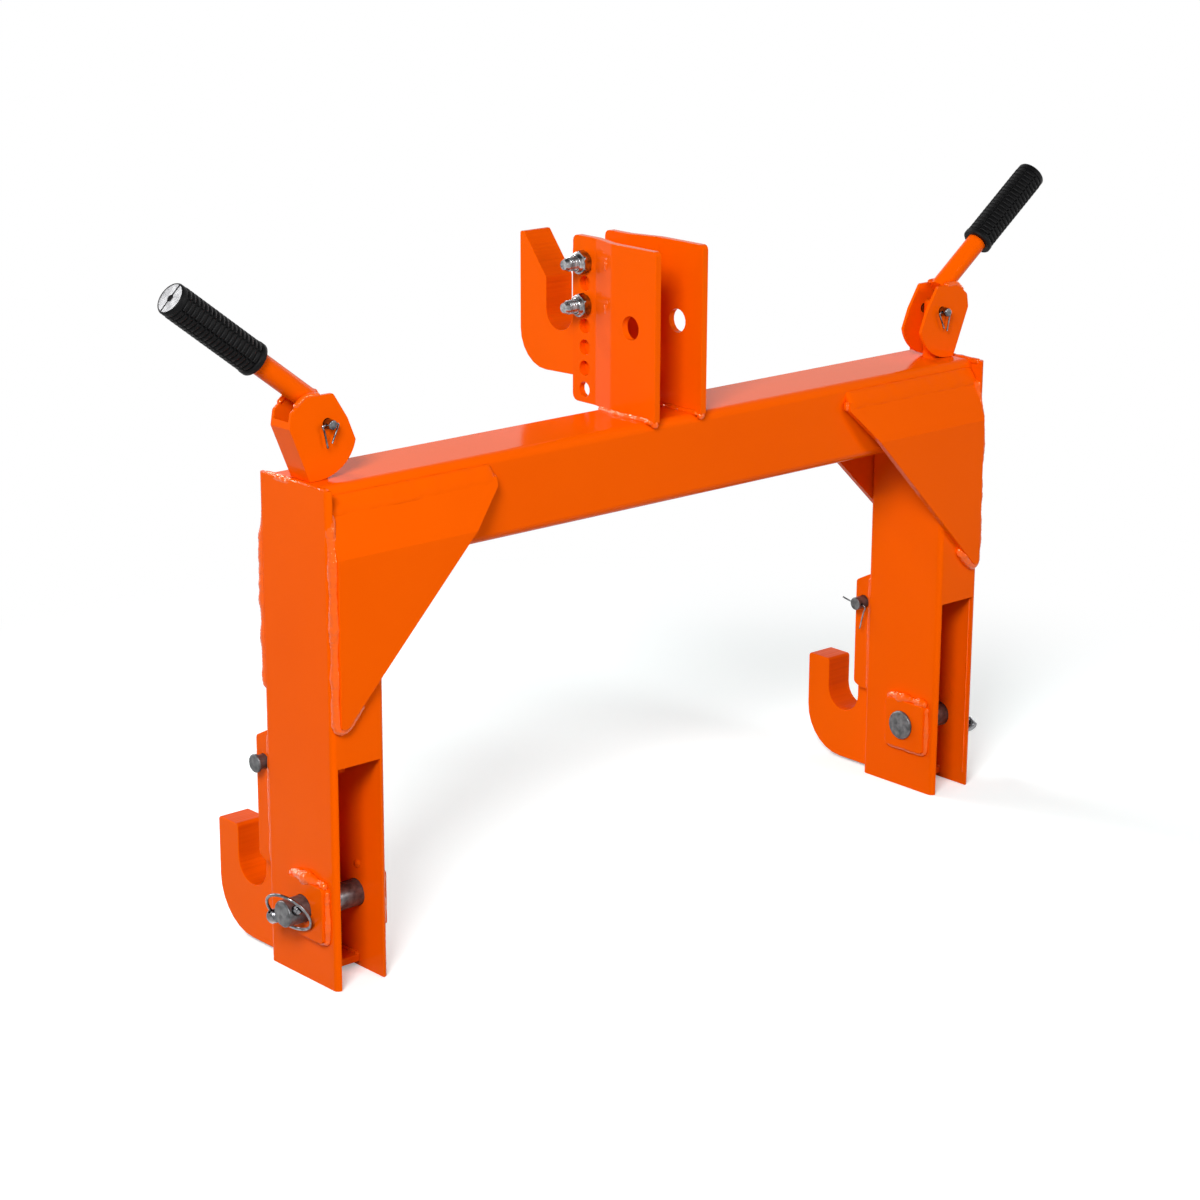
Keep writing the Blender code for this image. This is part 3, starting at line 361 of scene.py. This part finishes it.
CUT_LINES = 420
CUT_STRETCH = (0.03, 1, 1)  # the lines run along X, across the plate
CUT_DEPTH = 0.3 * MM
CUT_RIM_LINES_AND_SHADE = (0.68, 0.066, 0.0)     # rims darker: dark lines of the cut, plus painted shade over each whole rim
CUT_DULL = 0.15
TOP_HOOK_EDGE = 0.3 * MM


def cut_plate_coat():
    coat = orange_finish("orange_coat_and_painted_shade_on_cut_plate", RESIN_TINT, RESIN_IOR)
    lines = coat.grain(CUT_LINES, 3, CUT_STRETCH)
    facing = coat.node("ShaderNodeNewGeometry", {}, {}, "Normal")
    across = coat.node("ShaderNodeVectorMath", {"operation": "DOT_PRODUCT"},
                       {0: facing, 1: (1, 0, 0)}, "Value")
    rim = 1 - across * across
    # Every rim is painted darker, deepest along the cut's lines: the lines are the cut's own
    # marks, the even part is painted shade.
    coat.surface(coat.blend((0.3 + 0.7 * lines) * rim, ORANGE, CUT_RIM_LINES_AND_SHADE),
                 CUT_DULL + CUT_DULL * rim, lines * rim, CUT_DEPTH)
    return coat.material


cut_coat = cut_plate_coat()
for side, name in SIDES:
    for part in ("lower_hook", "latch"):
        dress(name + "_" + part, cut_coat)
dress("top_hook", cut_coat, TOP_HOOK_EDGE)


# Weld beads: every joint of the frame is welded by hand before it is painted, so
# the beads are lumpy ridges under the same coat, thickest round the gussets and
# over the pads. The handle bars are welded into their folded brackets.

HOOK_SPACING = 683          # mm between the legs' middles
LEG_Y = sum(corner[1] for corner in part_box("left_leg")) / 2
WELD_TINT = (1.0, 0.42, 0.22, 1)
WELD_IOR = 1.80             # the coat pools and shines more on the lumps
WELD_GRAIN = 200
WELD_ROUGH = 1.6 * MM
WELD_DULL = 0.03
BEAD_STEP = 1.1 * MM
BEAD_SIDES = 10
CORNER_PASSES = 4           # rounds of easing over the corners of a run
BEAD_TAPER = 1.3            # radii over which a bead's ends round off
BEAD_END = 0.06             # share of its section that is left there
SWELL_LENGTH = 17 * MM      # slow changes in a bead's thickness
SWELL_SHARE = 1.5           # of how lumpy the bead is
LUMP_LENGTH = 6.5 * MM      # lumps on its skin
LUMP_SHARE = 0.7
RIPPLE = 3.1 * MM           # from one set drop to the next
RIPPLE_HEIGHT = 0.05        # share of its radius
weld_coat = powder_coat("orange_coat_on_welds", WELD_TINT, WELD_IOR, WELD_GRAIN, WELD_ROUGH,
                        WELD_DULL)


def skin(name, rows, material, body, loop=False, sharp=None):
    """Piece whose surface runs through rings of points, its ends capped or joined."""
    bm = bmesh.new()
    rings = [[bm.verts.new(point) for point in row] for row in rows]
    for below, above in zip(rings, rings[1:] + rings[:1] if loop else rings[1:]):
        for step in range(len(below)):
            after = (step + 1) % len(below)
            bm.faces.new((below[step], below[after], above[after], above[step]))
    if not loop:
        bm.faces.new(rings[0])
        bm.faces.new(rings[-1])
    bmesh.ops.recalc_face_normals(bm, faces=bm.faces[:])
    mesh = bpy.data.meshes.new(name)
    bm.to_mesh(mesh)
    bm.free()
    mesh.shade_smooth()
    if sharp:
        mesh.set_sharp_from_angle(angle=math.radians(sharp))
    mesh.materials.append(material)
    obj = bpy.data.objects.new(name, mesh)
    bpy.context.collection.objects.link(obj)
    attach(obj, body)
    return obj


def sweep(points, radius, sides, loop=False):
    """Rings of points square to a path; radius is a number or one for each point."""
    count = len(points)
    rows = []
    lift = None
    for index, point in enumerate(points):
        before = points[index - 1] if index or loop else point
        after = points[(index + 1) % count] if index + 1 < count or loop else point
        ahead = (after - before).normalized()
        if lift is None:
            lift = ahead.orthogonal()
        lift = (lift - ahead * lift.dot(ahead)).normalized()
        across = ahead.cross(lift)
        size = radius if isinstance(radius, float) else radius[index]
        rows.append([point + size * (math.cos(turn) * lift + math.sin(turn) * across)
                     for turn in (2 * math.pi * step / sides for step in range(sides))])
    return rows


def bead(name, body, corners, radius, lumps=0.24):
    """Run of weld through some corners, in metres, its lumps set by its name."""
    path = []
    for here, after in zip(corners, corners[1:]):
        steps = max(1, round((after - here).length / BEAD_STEP))
        path += [here.lerp(after, step / steps) for step in range(steps)]
    path.append(corners[-1])
    for _ in range(CORNER_PASSES):
        eased = [(a + 2 * b + c) / 4 for a, b, c in zip(path, path[1:], path[2:])]
        path = [path[0]] + eased + [path[-1]]
    shift = Vector((0.37 * len(name), 1.7 * ord(name[-1]), 0))
    sizes = []
    run = 0.0
    total = sum((b - a).length for a, b in zip(path, path[1:]))
    for index, point in enumerate(path):
        run += (point - path[index - 1]).length if index else 0.0
        end = min(1.0, min(run, total - run) / (BEAD_TAPER * radius))
        swell = noise.noise(point / SWELL_LENGTH + shift) * lumps * SWELL_SHARE
        ripple = RIPPLE_HEIGHT * abs(math.cos(math.pi * run / RIPPLE))
        taper = math.sqrt(max(BEAD_END, end * (2 - end)))
        sizes.append(radius * (1 + swell + ripple) * taper)
    rows = sweep(path, sizes, BEAD_SIDES)
    for row, point in zip(rows, path):
        for step, corner in enumerate(row):
            push = 1 + LUMP_SHARE * lumps * noise.noise(corner / LUMP_LENGTH + shift)
            row[step] = point + (corner - point) * push
    return skin(name, rows, weld_coat, body)


def by_leg(side, outboard, behind, up):
    """Place given in millimetres from a leg's middle and from the ground."""
    return Vector((side * (HOOK_SPACING / 2 + outboard) * MM, LEG_Y + behind * MM, up * MM))


def by_mast(side, outboard, behind, up):
    """Place given in millimetres from the middle of the hitch and from the ground."""
    return Vector((side * outboard * MM, LEG_Y + behind * MM, up * MM))


def frame_bead(name, side, corners, radius, lumps=0.24, place=by_leg):
    """Bead on the frame, its corners and radius in millimetres."""
    return bead(name, "frame", [place(side, *corner) for corner in corners], radius * MM, lumps)


# The fill on a gusset's top: where it starts and ends, from the leg's middle, and
# its section, as distance out from the tube's face, height and share of the lumps.
FILL_OUTER = 20.0
FILL_INNER = -142.0
FILL_STEPS = 108
FILL_TAPER = 5              # mm over which its ends thin out
FILL_END = 0.15             # share that is left there
FILL_SINK = 1.8             # how deep the ends sink, in mm
FILL_SWELL = 0.66           # height of its swells, 15 mm long and 9 mm high, in mm
FILL_LUMP = 0.275           # height of its lumps, 5 mm both ways
FILL_SECTION = ((-0.6, 396.4, 0.4), (0.5, 396.0, 1), (2.3, 394.0, 1), (4.3, 391.3, 1),
                (6.1, 388.4, 1), (6.7, 385.4, 1), (6.45, 382.6, 1), (5.9, 380.4, 0),
                (3.0, 380.0, 0), (-0.6, 384.0, 0))
GUSSET_TOP = 387            # height at which a gusset leaves the tube's face
GUSSET_SLOPE = 37           # height over which it slopes out to the leg's face
LEG_FACE = 44


def top_fill(name, side, face, tube_face):
    """Weld that slopes from the tube's face onto the top edge of a gusset."""
    rows = []
    for index in range(FILL_STEPS + 1):
        along = FILL_OUTER - (FILL_OUTER - FILL_INNER) * index / FILL_STEPS
        end = min(FILL_OUTER - along, along - FILL_INNER) / FILL_TAPER
        full = math.sqrt(min(1.0, FILL_END + end))
        row = []
        for out, up, proud in FILL_SECTION:
            slope = (GUSSET_TOP - up) * (LEG_FACE - tube_face) / GUSSET_SLOPE
            lean = slope if up < GUSSET_TOP else 0
            swell = noise.noise(Vector((along / 15, up / 9, side * face * 3.1)))
            lump = noise.noise(Vector((along / 5, up / 5, side * face * 7.7)))
            drop = (FILL_SWELL * swell + FILL_LUMP * lump - FILL_SINK * (1 - full)) * proud
            row.append(by_leg(side, along, face * (tube_face + out + lean + 0.6 * drop),
                              up + 0.8 * drop))
        rows.append(row)
    skin(name, rows, orange, "frame")


# Side of the leg, bottom edge and the tube's face there, in millimetres.
GUSSETS = (("front", -1, 216, 32), ("rear", 1, 230, 40))
GUSSET_WELD = 44.7          # from the leg's middle to the bead down a gusset's side
PAD_WELD = 26.2             # to the bead round a pin pad
PAD_TOP_WELD = 27.0
EAR_WELD = 21.2
HOOK_WELD = 14.8
MAST_FOOT = {
    "outer": ((29.6, -34, 402.6), (29.9, -30, 403.6), (29.9, 12, 403.6), (28.4, 20, 403.5),
              (24.4, 34, 402.8), (23.6, 37.5, 401.6)),
    "inner": ((22.4, -33, 403.2), (22.2, -29, 403.6), (22.2, 14, 403.6), (20.6, 22, 403.5),
              (16.6, 35, 402.4))}
JOG_TACKS = (("upper", 523.5), ("lower", 487.5))

for side, name in SIDES:
    for word, face, bottom, tube_face in GUSSETS:
        weld = face * GUSSET_WELD
        frame_bead(f"{name}_{word}_gusset_side_weld", side, (
            (20.2, face * 37.6, 386), (21.0, face * 44.4, 351), (21.2, weld, bottom + 3),
            (19.4, weld, bottom - 1.2), (14.5, weld, bottom - 1.4),
            (9.0, face * 44.9, bottom + 3.6), (-4.0, weld, bottom + 17)), 4.3, 0.22)
        top_fill(f"{name}_{word}_gusset_top_weld", side, face, tube_face)
        frame_bead(f"{name}_{word}_gusset_tip_weld", side, (
            (-143.0, face * (tube_face + 2.6), 388.5),
            (-143.4, face * (tube_face + 3.4), 379.5)), 2.9, 0.2)
    frame_bead(name + "_tube_end_weld", side,
               ((22.4, -41, 401.4), (22.2, 41, 401.4)), 2.9, 0.3)
    frame_bead(name + "_under_tube_weld", side,
               ((-26.0, -25, 331.4), (-26.0, 33, 331.4)), 2.8)
    for word, flip in (("outer", 1), ("inner", -1)):
        pad = flip * PAD_WELD
        frame_bead(f"{name}_{word}_pad_weld", side, (
            (pad, -34.5, 84), (pad, -35.2, 61), (pad, -34.6, 39.6), (pad, -30, 38.6),
            (pad, 7, 38.4), (pad, 11.8, 40), (pad, 12.2, 62), (pad, 11.5, 84)), 3.0, 0.2)
        pad = flip * PAD_TOP_WELD
        frame_bead(f"{name}_{word}_pad_top_weld", side, (
            (pad, -34.8, 83.8), (pad, -31, 86.6), (pad, 8, 86.7), (pad, 12.4, 83.8)), 5.3, 0.45)
        ear = flip * EAR_WELD
        frame_bead(f"{name}_{word}_ear_weld", side, ((ear, 44.5, 82), (ear, 44.5, 190)), 2.1)
        hook = flip * HOOK_WELD
        frame_bead(f"{name}_{word}_hook_weld", side, (
            (hook, 44.9, 12), (hook, 44.9, 62), (flip * 15.2, 45.4, 82)), 2.9, 0.3)
        frame_bead(f"{name}_{word}_tie_weld", side, (
            (flip * 19.4, -12.6, 10.4), (flip * 19.6, 30, 10.4)), 1.9, 0.34)
        frame_bead(f"{name}_{word}_mast_foot_weld", side, MAST_FOOT[word], 2.2, 0.36, by_mast)
    frame_bead(name + "_mast_front_weld", side,
               ((22.6, -32.6, 401.6), (29.6, -32.8, 401.4)), 2.8, 0.34, by_mast)
    for word, up in JOG_TACKS:
        frame_bead(f"{name}_{word}_jog_tack", side,
                   ((25.2, 27.2, up + 5), (25.0, 28.3, up - 4)), 2.3, 0.5, by_mast)
frame_bead("right_slot_seam", 1, ((20.3, -40.4, 181), (20.3, -40.4, 12)), 0.9, 0.5)

# The run along a handle bar's side, in millimetres outboard of its pin and above it.
BAR_WELD = ((5, 22.4), (12, 23.0), (19.5, 22.8), (26.5, 17.6), (29, 15.4))
BAR_WELD_OUT = 10.3         # mm in front of the bar's middle, or behind it
joints = {joint["name"]: joint for joint in frame["record"]["behaviour"]["joints"]}
for side, name in SIDES:
    pin = Vector(joints[name + "_handle_swing"]["pos_m"])
    for word, flip in (("front", -1), ("rear", 1)):
        bead(f"{name}_{word}_bar_weld", name + "_handle", [
            pin + Vector((side * outboard * MM, flip * BAR_WELD_OUT * MM, up * MM))
            for outboard, up in BAR_WELD], 2.1 * MM, 0.26)


# Pins and clips: turned steel pins and bent wire clips, plated with grey zinc
# that is mottled light and dark. The link, latch and rod pins are darker.

PIN_GREY = (0.17, 0.17, 0.175)
PIN_DARK = (0.06, 0.06, 0.063)
PIN_ROUGH = (0.22, 0.45)    # roughness, at the least and at the most
PIN_METAL = 0.65
WIRE_GREY = (0.27, 0.27, 0.28)
WIRE_DARK = (0.05, 0.05, 0.055)
WIRE_ROUGH = (0.10, 0.28)
MOTTLE_GRAIN = 170
MOTTLE_LOW = 0.34           # the grain's value where the plate is all bright
MOTTLE_HIGH = 0.66          # and where it is all dull
TURNING_GRAIN = 420         # marks of the turning
TURNING_DEPTH = 0.04 * MM
PIN_EDGE = 0.2 * MM
LINK_PIN_EDGE = 0.25 * MM
WIRE_EDGE = 0.1 * MM
WIRE_SHARP = 80             # degrees, so that only the ends of a wire are rounded
CLIP_TRIM = 0.35 * MM       # the wire is thinner than its solid


def plated(name, bright, dull, rough, metallic=1.0):
    smoothest, roughest = rough
    plate = Finish(name, metallic)
    cloud = plate.grain(MOTTLE_GRAIN, 4)
    mottled = plate.node("ShaderNodeMapRange", {},
                         {"Value": cloud, "From Min": MOTTLE_LOW, "From Max": MOTTLE_HIGH})
    turning = plate.grain(TURNING_GRAIN, 2)
    plate.surface(plate.blend(mottled, bright, dull),
                  smoothest + (roughest - smoothest) * cloud, turning, TURNING_DEPTH)
    return plate.material


wire_zinc = plated("dark_zinc_on_wire", WIRE_GREY, WIRE_DARK, WIRE_ROUGH)
grey = plated("grey_pin_steel", PIN_GREY, PIN_DARK, PIN_ROUGH, PIN_METAL)
for side, name in SIDES:
    dress(name + "_link_pin", grey, LINK_PIN_EDGE)
    for part in ("latch_pin", "rod_pin"):
        dress(name + "_" + part, grey, PIN_EDGE)
    for part in ("linchpin", "handle_pin"):
        dress(name + "_" + part, wire_zinc, PIN_EDGE)
    for part in ("latch_pin_clip", "handle_pin_clip"):
        dress(name + "_" + part, wire_zinc, WIRE_EDGE, WIRE_SHARP, CLIP_TRIM)


# Snap rings: a closed ring of spring wire through the head of each linchpin. It
# lies over the link pin's end and flips out to let the linchpin be pulled.

RING_RADIUS = 20 * MM
RING_WIRE = 1.3 * MM
RING_STEPS = 96
WIRE_SIDES = 12

for side, name in SIDES:
    low, high = (Vector(corner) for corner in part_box(name + "_snap_ring"))
    middle = (low + high) / 2
    hinge = joints[name + "_ring_flip"]
    stem = (Vector(hinge["pos_m"]) - middle).normalized()
    lean = Vector(hinge["axis"]).normalized()
    circle = [middle + RING_RADIUS * (math.cos(turn) * stem + math.sin(turn) * lean)
              for turn in (2 * math.pi * step / RING_STEPS for step in range(RING_STEPS))]
    rows = sweep(circle, RING_WIRE, WIRE_SIDES, True)
    ring = skin(name + "_spring_ring", rows, wire_zinc, name + "_ring", True)
    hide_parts(name + "_snap_ring")


# Hook bolts: 12 mm bolts through the mast and the top hook, plated with brighter
# zinc, each with a lock nut whose round crown holds a plastic ring. The thread
# shows past the nut.

ZINC = (0.48, 0.48, 0.49)
ZINC_DULL = (0.07, 0.07, 0.075)
ZINC_ROUGH = (0.12, 0.34)
BOLT_RADIUS = 5.9 * MM
BOLT_SIDES = 48
THREAD_PITCH = 1.75 * MM
THREAD_DEPTH = 0.95 * MM
THREAD_SHARP = 2.6          # how narrow its grooves are
THREAD_STEP = 0.22 * MM
TIP_TAPER = 1.8 * MM        # how much thinner the tip is
TIP_SLOPE = 0.4
SHANK_START = 0.5 * MM      # plain shank, from the nut's seat
SHANK_END = 5 * MM          # to inside the head
HEX_FLATS = 18 * MM
HEX_SIDES = 72
HEX_EASE = 0.985            # a little off its corners
HEX_CREASE = 28             # degrees: sharper edges are drawn sharp
SHANK_CREASE = 40
# Radius and distance along the bolt from a face, in millimetres. The hexagon
# cuts off what is wider.
HEAD_TURNED = ((2, -7.1), (8.6, -7.5), (9.4, -7.5), (10.6, -6.8), (10.6, -1.5),
               (8.8, -0.2), (8.4, 0), (2, 0))
NUT_SEAT = ((6.1, 0), (9.0, 0), (10.6, -1.0))
NUT_CROWN = ((10.6, 4.8), (9.3, 3.6), (8.1, 3.3), (7.8, 2.8), (7.2, 0.9), (6.8, 0.2),
             (6.5, 0), (6.1, 0.5))


def along_bolt(centre, distance, radius, turn):
    return Vector((distance, centre.y + radius * math.cos(turn),
                   centre.z + radius * math.sin(turn)))


def hexagonal(turn):
    """Distance from a hexagon's middle to its edge, corners eased."""
    swing = (turn + math.pi / 6) % (math.pi / 3) - math.pi / 6
    return min(HEX_FLATS / 2 / math.cos(swing), HEX_EASE * HEX_FLATS / math.sqrt(3))


def hex_rows(centre, face, turned):
    """Rings round a bolt's axis for a turned profile, which the hexagon cuts off."""
    turns = [2 * math.pi * step / HEX_SIDES for step in range(HEX_SIDES)]
    return [[along_bolt(centre, face + distance * MM, min(radius * MM, hexagonal(turn)), turn)
             for turn in turns] for radius, distance in turned]


def plain_ring(centre, distance):
    return [along_bolt(centre, distance, BOLT_RADIUS, 2 * math.pi * step / BOLT_SIDES)
            for step in range(BOLT_SIDES)]


def threaded(centre, tip, seat):
    """Rings of a threaded end that runs from its tip to the seat of the nut."""
    rows = []
    count = round((seat - tip) / THREAD_STEP)
    for index in range(count + 1):
        distance = tip + (seat - tip) * index / count
        widest = BOLT_RADIUS - TIP_TAPER + TIP_SLOPE * (distance - tip)
        row = []
        for step in range(BOLT_SIDES):
            turn = 2 * math.pi * step / BOLT_SIDES
            phase = (distance / THREAD_PITCH - step / BOLT_SIDES) % 1
            groove = max(0.0, 1 - abs(phase - 0.5) * THREAD_SHARP)
            radius = min(widest, BOLT_RADIUS - THREAD_DEPTH * groove)
            row.append(along_bolt(centre, distance, radius, turn))
        rows.append(row)
    return rows


zinc = plated("bright_zinc_plate", ZINC, ZINC_DULL, ZINC_ROUGH)
for word in ("upper", "lower"):
    low, high = (Vector(corner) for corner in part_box(word + "_hook_bolt"))
    centre = (low + high) / 2
    nut_low, nut_high = (Vector(corner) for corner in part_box(word + "_hook_nut"))
    rows = threaded(centre, low.x, nut_high.x)
    rows += [plain_ring(centre, nut_high.x + SHANK_START), plain_ring(centre, high.x - SHANK_END)]
    shank = skin(word + "_bolt_shank", rows, zinc, "frame", sharp=SHANK_CREASE)
    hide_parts(word + "_hook_bolt")
    rows = hex_rows(centre, high.x, HEAD_TURNED)
    head = skin(word + "_bolt_head", rows, zinc, "frame", sharp=HEX_CREASE)
    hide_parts(word + "_hook_bolt")
    rows = hex_rows(centre, nut_high.x, NUT_SEAT) + hex_rows(centre, nut_low.x, NUT_CROWN)
    nut = skin(word + "_lock_nut", rows, zinc, "frame", True, HEX_CREASE)
    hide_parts(word + "_hook_nut")


# Springs: a coil of bare spring steel round each latch rod, inside the leg under
# the cross tube, dark with oil. It pushes the rod down.

SPRING_DARK = (0.22, 0.21, 0.20)
SPRING_PALE = (0.34, 0.34, 0.35)
SPRING_DULL = 0.3
OIL_GRAIN = 45              # patches of the film of oil
OIL_DULL = 0.25             # what they add to the roughness
OIL_DEPTH = 0.03 * MM


def oiled_steel():
    steel = Finish("oiled_steel", 1.0)
    film = steel.grain(OIL_GRAIN, 4)
    steel.surface(steel.blend(film, SPRING_DARK, SPRING_PALE), SPRING_DULL + OIL_DULL * film,
                  steel.grain(TURNING_GRAIN, 2), OIL_DEPTH)
    return steel.material


oiled = oiled_steel()
for side, name in SIDES:
    dress(name + "_latch_spring", oiled, WIRE_EDGE, WIRE_SHARP)


# Grips: black rubber moulded with rings and long grooves, pushed on the end of
# each handle bar. The closed end shows a pale disc with a slit and a hole.

BAR_ANGLE = math.radians(37.4)      # above the horizon
BAR_OFFSET = 9 * MM         # from the handle pin up to the bar's middle line
GRIP_NEAR = 78              # mm along the bar from the handle pin
GRIP_FAR = 168.9
GRIP_SIDES = 96
GRIP_BORE = 9.4             # radii, in mm
GRIP_DEEP = 12.1            # between the rings
GRIP_TOP = 13.3             # over the rings
GRIP_COLLAR = 13.75
DISC_RADIUS = 11.6
HOLE_RADIUS = 3.0
END_HOLE = 0.3              # in the rubber behind the disc
RING_PITCH = 4.4
FIRST_RING = 6.2            # from the near end
LAST_RING = 4               # from the far end
LONG_GROOVES = 8
GROOVE_SHARP = 12           # how narrow they are
GROOVE_DEPTH = 1.3
SLIT = 0.8                  # half its width
SLIT_TURN = math.radians(13)
DISC_STEPS = 24
HOLE_STEPS = 8
DISC_ROWS = (1.25, 0.55, 0.35)      # mm inside the far end, from its back to its front
RUBBER = (0.0015, 0.0015, 0.0017)
RUBBER_DUSTY = (0.006, 0.006, 0.0065)
DUST_GRAIN = 120
RUBBER_GRAIN = 300
RUBBER_DEPTH = 0.03 * MM
RUBBER_DULL = 0.36
DUST_DULL = 0.25            # what the dust adds to the roughness
RUBBER_SHINE = 0.1
RUBBER_CREASE = 45
DISC_PALE = (0.55, 0.55, 0.56)
DISC_GREY = (0.34, 0.34, 0.35)
DISC_ROUGH = (0.35, 0.55)
DISC_CREASE = 30
# Distance from the near end, from a ring's start and from the far end, then the
# radius, and for a ring whether the long grooves cut into it.
COLLAR = ((0, GRIP_BORE), (0, GRIP_COLLAR - 0.8), (0.8, GRIP_COLLAR), (4.2, GRIP_COLLAR),
          (4.8, GRIP_COLLAR - 0.6), (5.2, GRIP_DEEP))
RING = ((0, GRIP_DEEP, 0), (0.35, GRIP_TOP - 0.35, 1), (0.8, GRIP_TOP, 1), (2.5, GRIP_TOP, 1),
        (2.95, GRIP_TOP - 0.35, 1), (3.3, GRIP_DEEP, 0))
GRIP_END = ((1.4, GRIP_TOP - 0.3), (0.4, GRIP_TOP - 0.9), (0, GRIP_TOP - 1.4),
            (0.1, DISC_RADIUS), (1.2, DISC_RADIUS - 0.2), (1.3, END_HOLE), (2.7, END_HOLE),
            (2.7, GRIP_BORE))


def grip_rubber():
    rubber = Finish("black_grip_rubber")
    dust = rubber.grain(DUST_GRAIN, 4)
    rubber.surface(rubber.blend(dust, RUBBER, RUBBER_DUSTY), RUBBER_DULL + DUST_DULL * dust,
                   rubber.grain(RUBBER_GRAIN, 2), RUBBER_DEPTH)
    rubber.shader.inputs["Specular IOR Level"].default_value = RUBBER_SHINE
    return rubber.material


def grip_profile():
    """Distance along the bar, radius, and whether the long grooves cut in there."""
    points = [(GRIP_NEAR + distance, radius, 0) for distance, radius in COLLAR]
    start = GRIP_NEAR + FIRST_RING
    while start + RING_PITCH < GRIP_FAR - LAST_RING:
        points += [(start + distance, radius, grooved) for distance, radius, grooved in RING]
        start += RING_PITCH
    points += [(start, GRIP_DEEP, 0), (start + 0.5, GRIP_TOP - 0.3, 0)]
    points += [(GRIP_FAR - distance, radius, 0) for distance, radius in GRIP_END]
    return points


def disc_outline():
    """Radius and turn of the points round one half of the end disc."""
    start = math.asin(SLIT / DISC_RADIUS)
    edge = math.asin(SLIT / HOLE_RADIUS)
    outer = [(DISC_RADIUS, start + (math.pi - 2 * start) * step / DISC_STEPS)
             for step in range(DISC_STEPS + 1)]
    inner = [(HOLE_RADIUS, math.pi - edge - (math.pi - 2 * edge) * step / HOLE_STEPS)
             for step in range(HOLE_STEPS + 1)]
    return outer + inner


def on_bar(side, pin, distance, radius, turn):
    """Place along a handle bar, in millimetres, and at a radius and turn round it."""
    way = Vector((side * math.cos(BAR_ANGLE), 0, math.sin(BAR_ANGLE)))
    rise = Vector((-side * math.sin(BAR_ANGLE), 0, math.cos(BAR_ANGLE)))
    behind = Vector((0, 1, 0))
    return (pin + rise * BAR_OFFSET + way * distance * MM
            + radius * MM * (math.cos(turn) * rise + math.sin(turn) * behind))


rubber = grip_rubber()
disc = plated("pale_end_disc", DISC_PALE, DISC_GREY, DISC_ROUGH)
for side, name in SIDES:
    pin = Vector(joints[name + "_handle_swing"]["pos_m"])
    rows = []
    for distance, radius, grooved in grip_profile():
        row = []
        for step in range(GRIP_SIDES):
            turn = 2 * math.pi * step / GRIP_SIDES
            swing = (turn * LONG_GROOVES / (2 * math.pi)) % 1
            cut = max(0.0, 1 - abs(swing - 0.5) * GROOVE_SHARP) * GROOVE_DEPTH * grooved
            row.append(on_bar(side, pin, distance, radius - cut, turn))
        rows.append(row)
    grip = skin(name + "_grip", rows, rubber, name + "_handle", True,
                RUBBER_CREASE)
    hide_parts(name + "_handle_grip")
    for word, flip in (("upper", 0), ("lower", 1)):
        shift = flip * math.pi + SLIT_TURN * side
        rows = [[on_bar(side, pin, GRIP_FAR - inside, radius, turn + shift)
                 for radius, turn in disc_outline()] for inside in DISC_ROWS]
        half = skin(f"{name}_grip_{word}_end", rows, disc, name + "_handle",
                    sharp=DISC_CREASE)
        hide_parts(name + "_handle_grip")
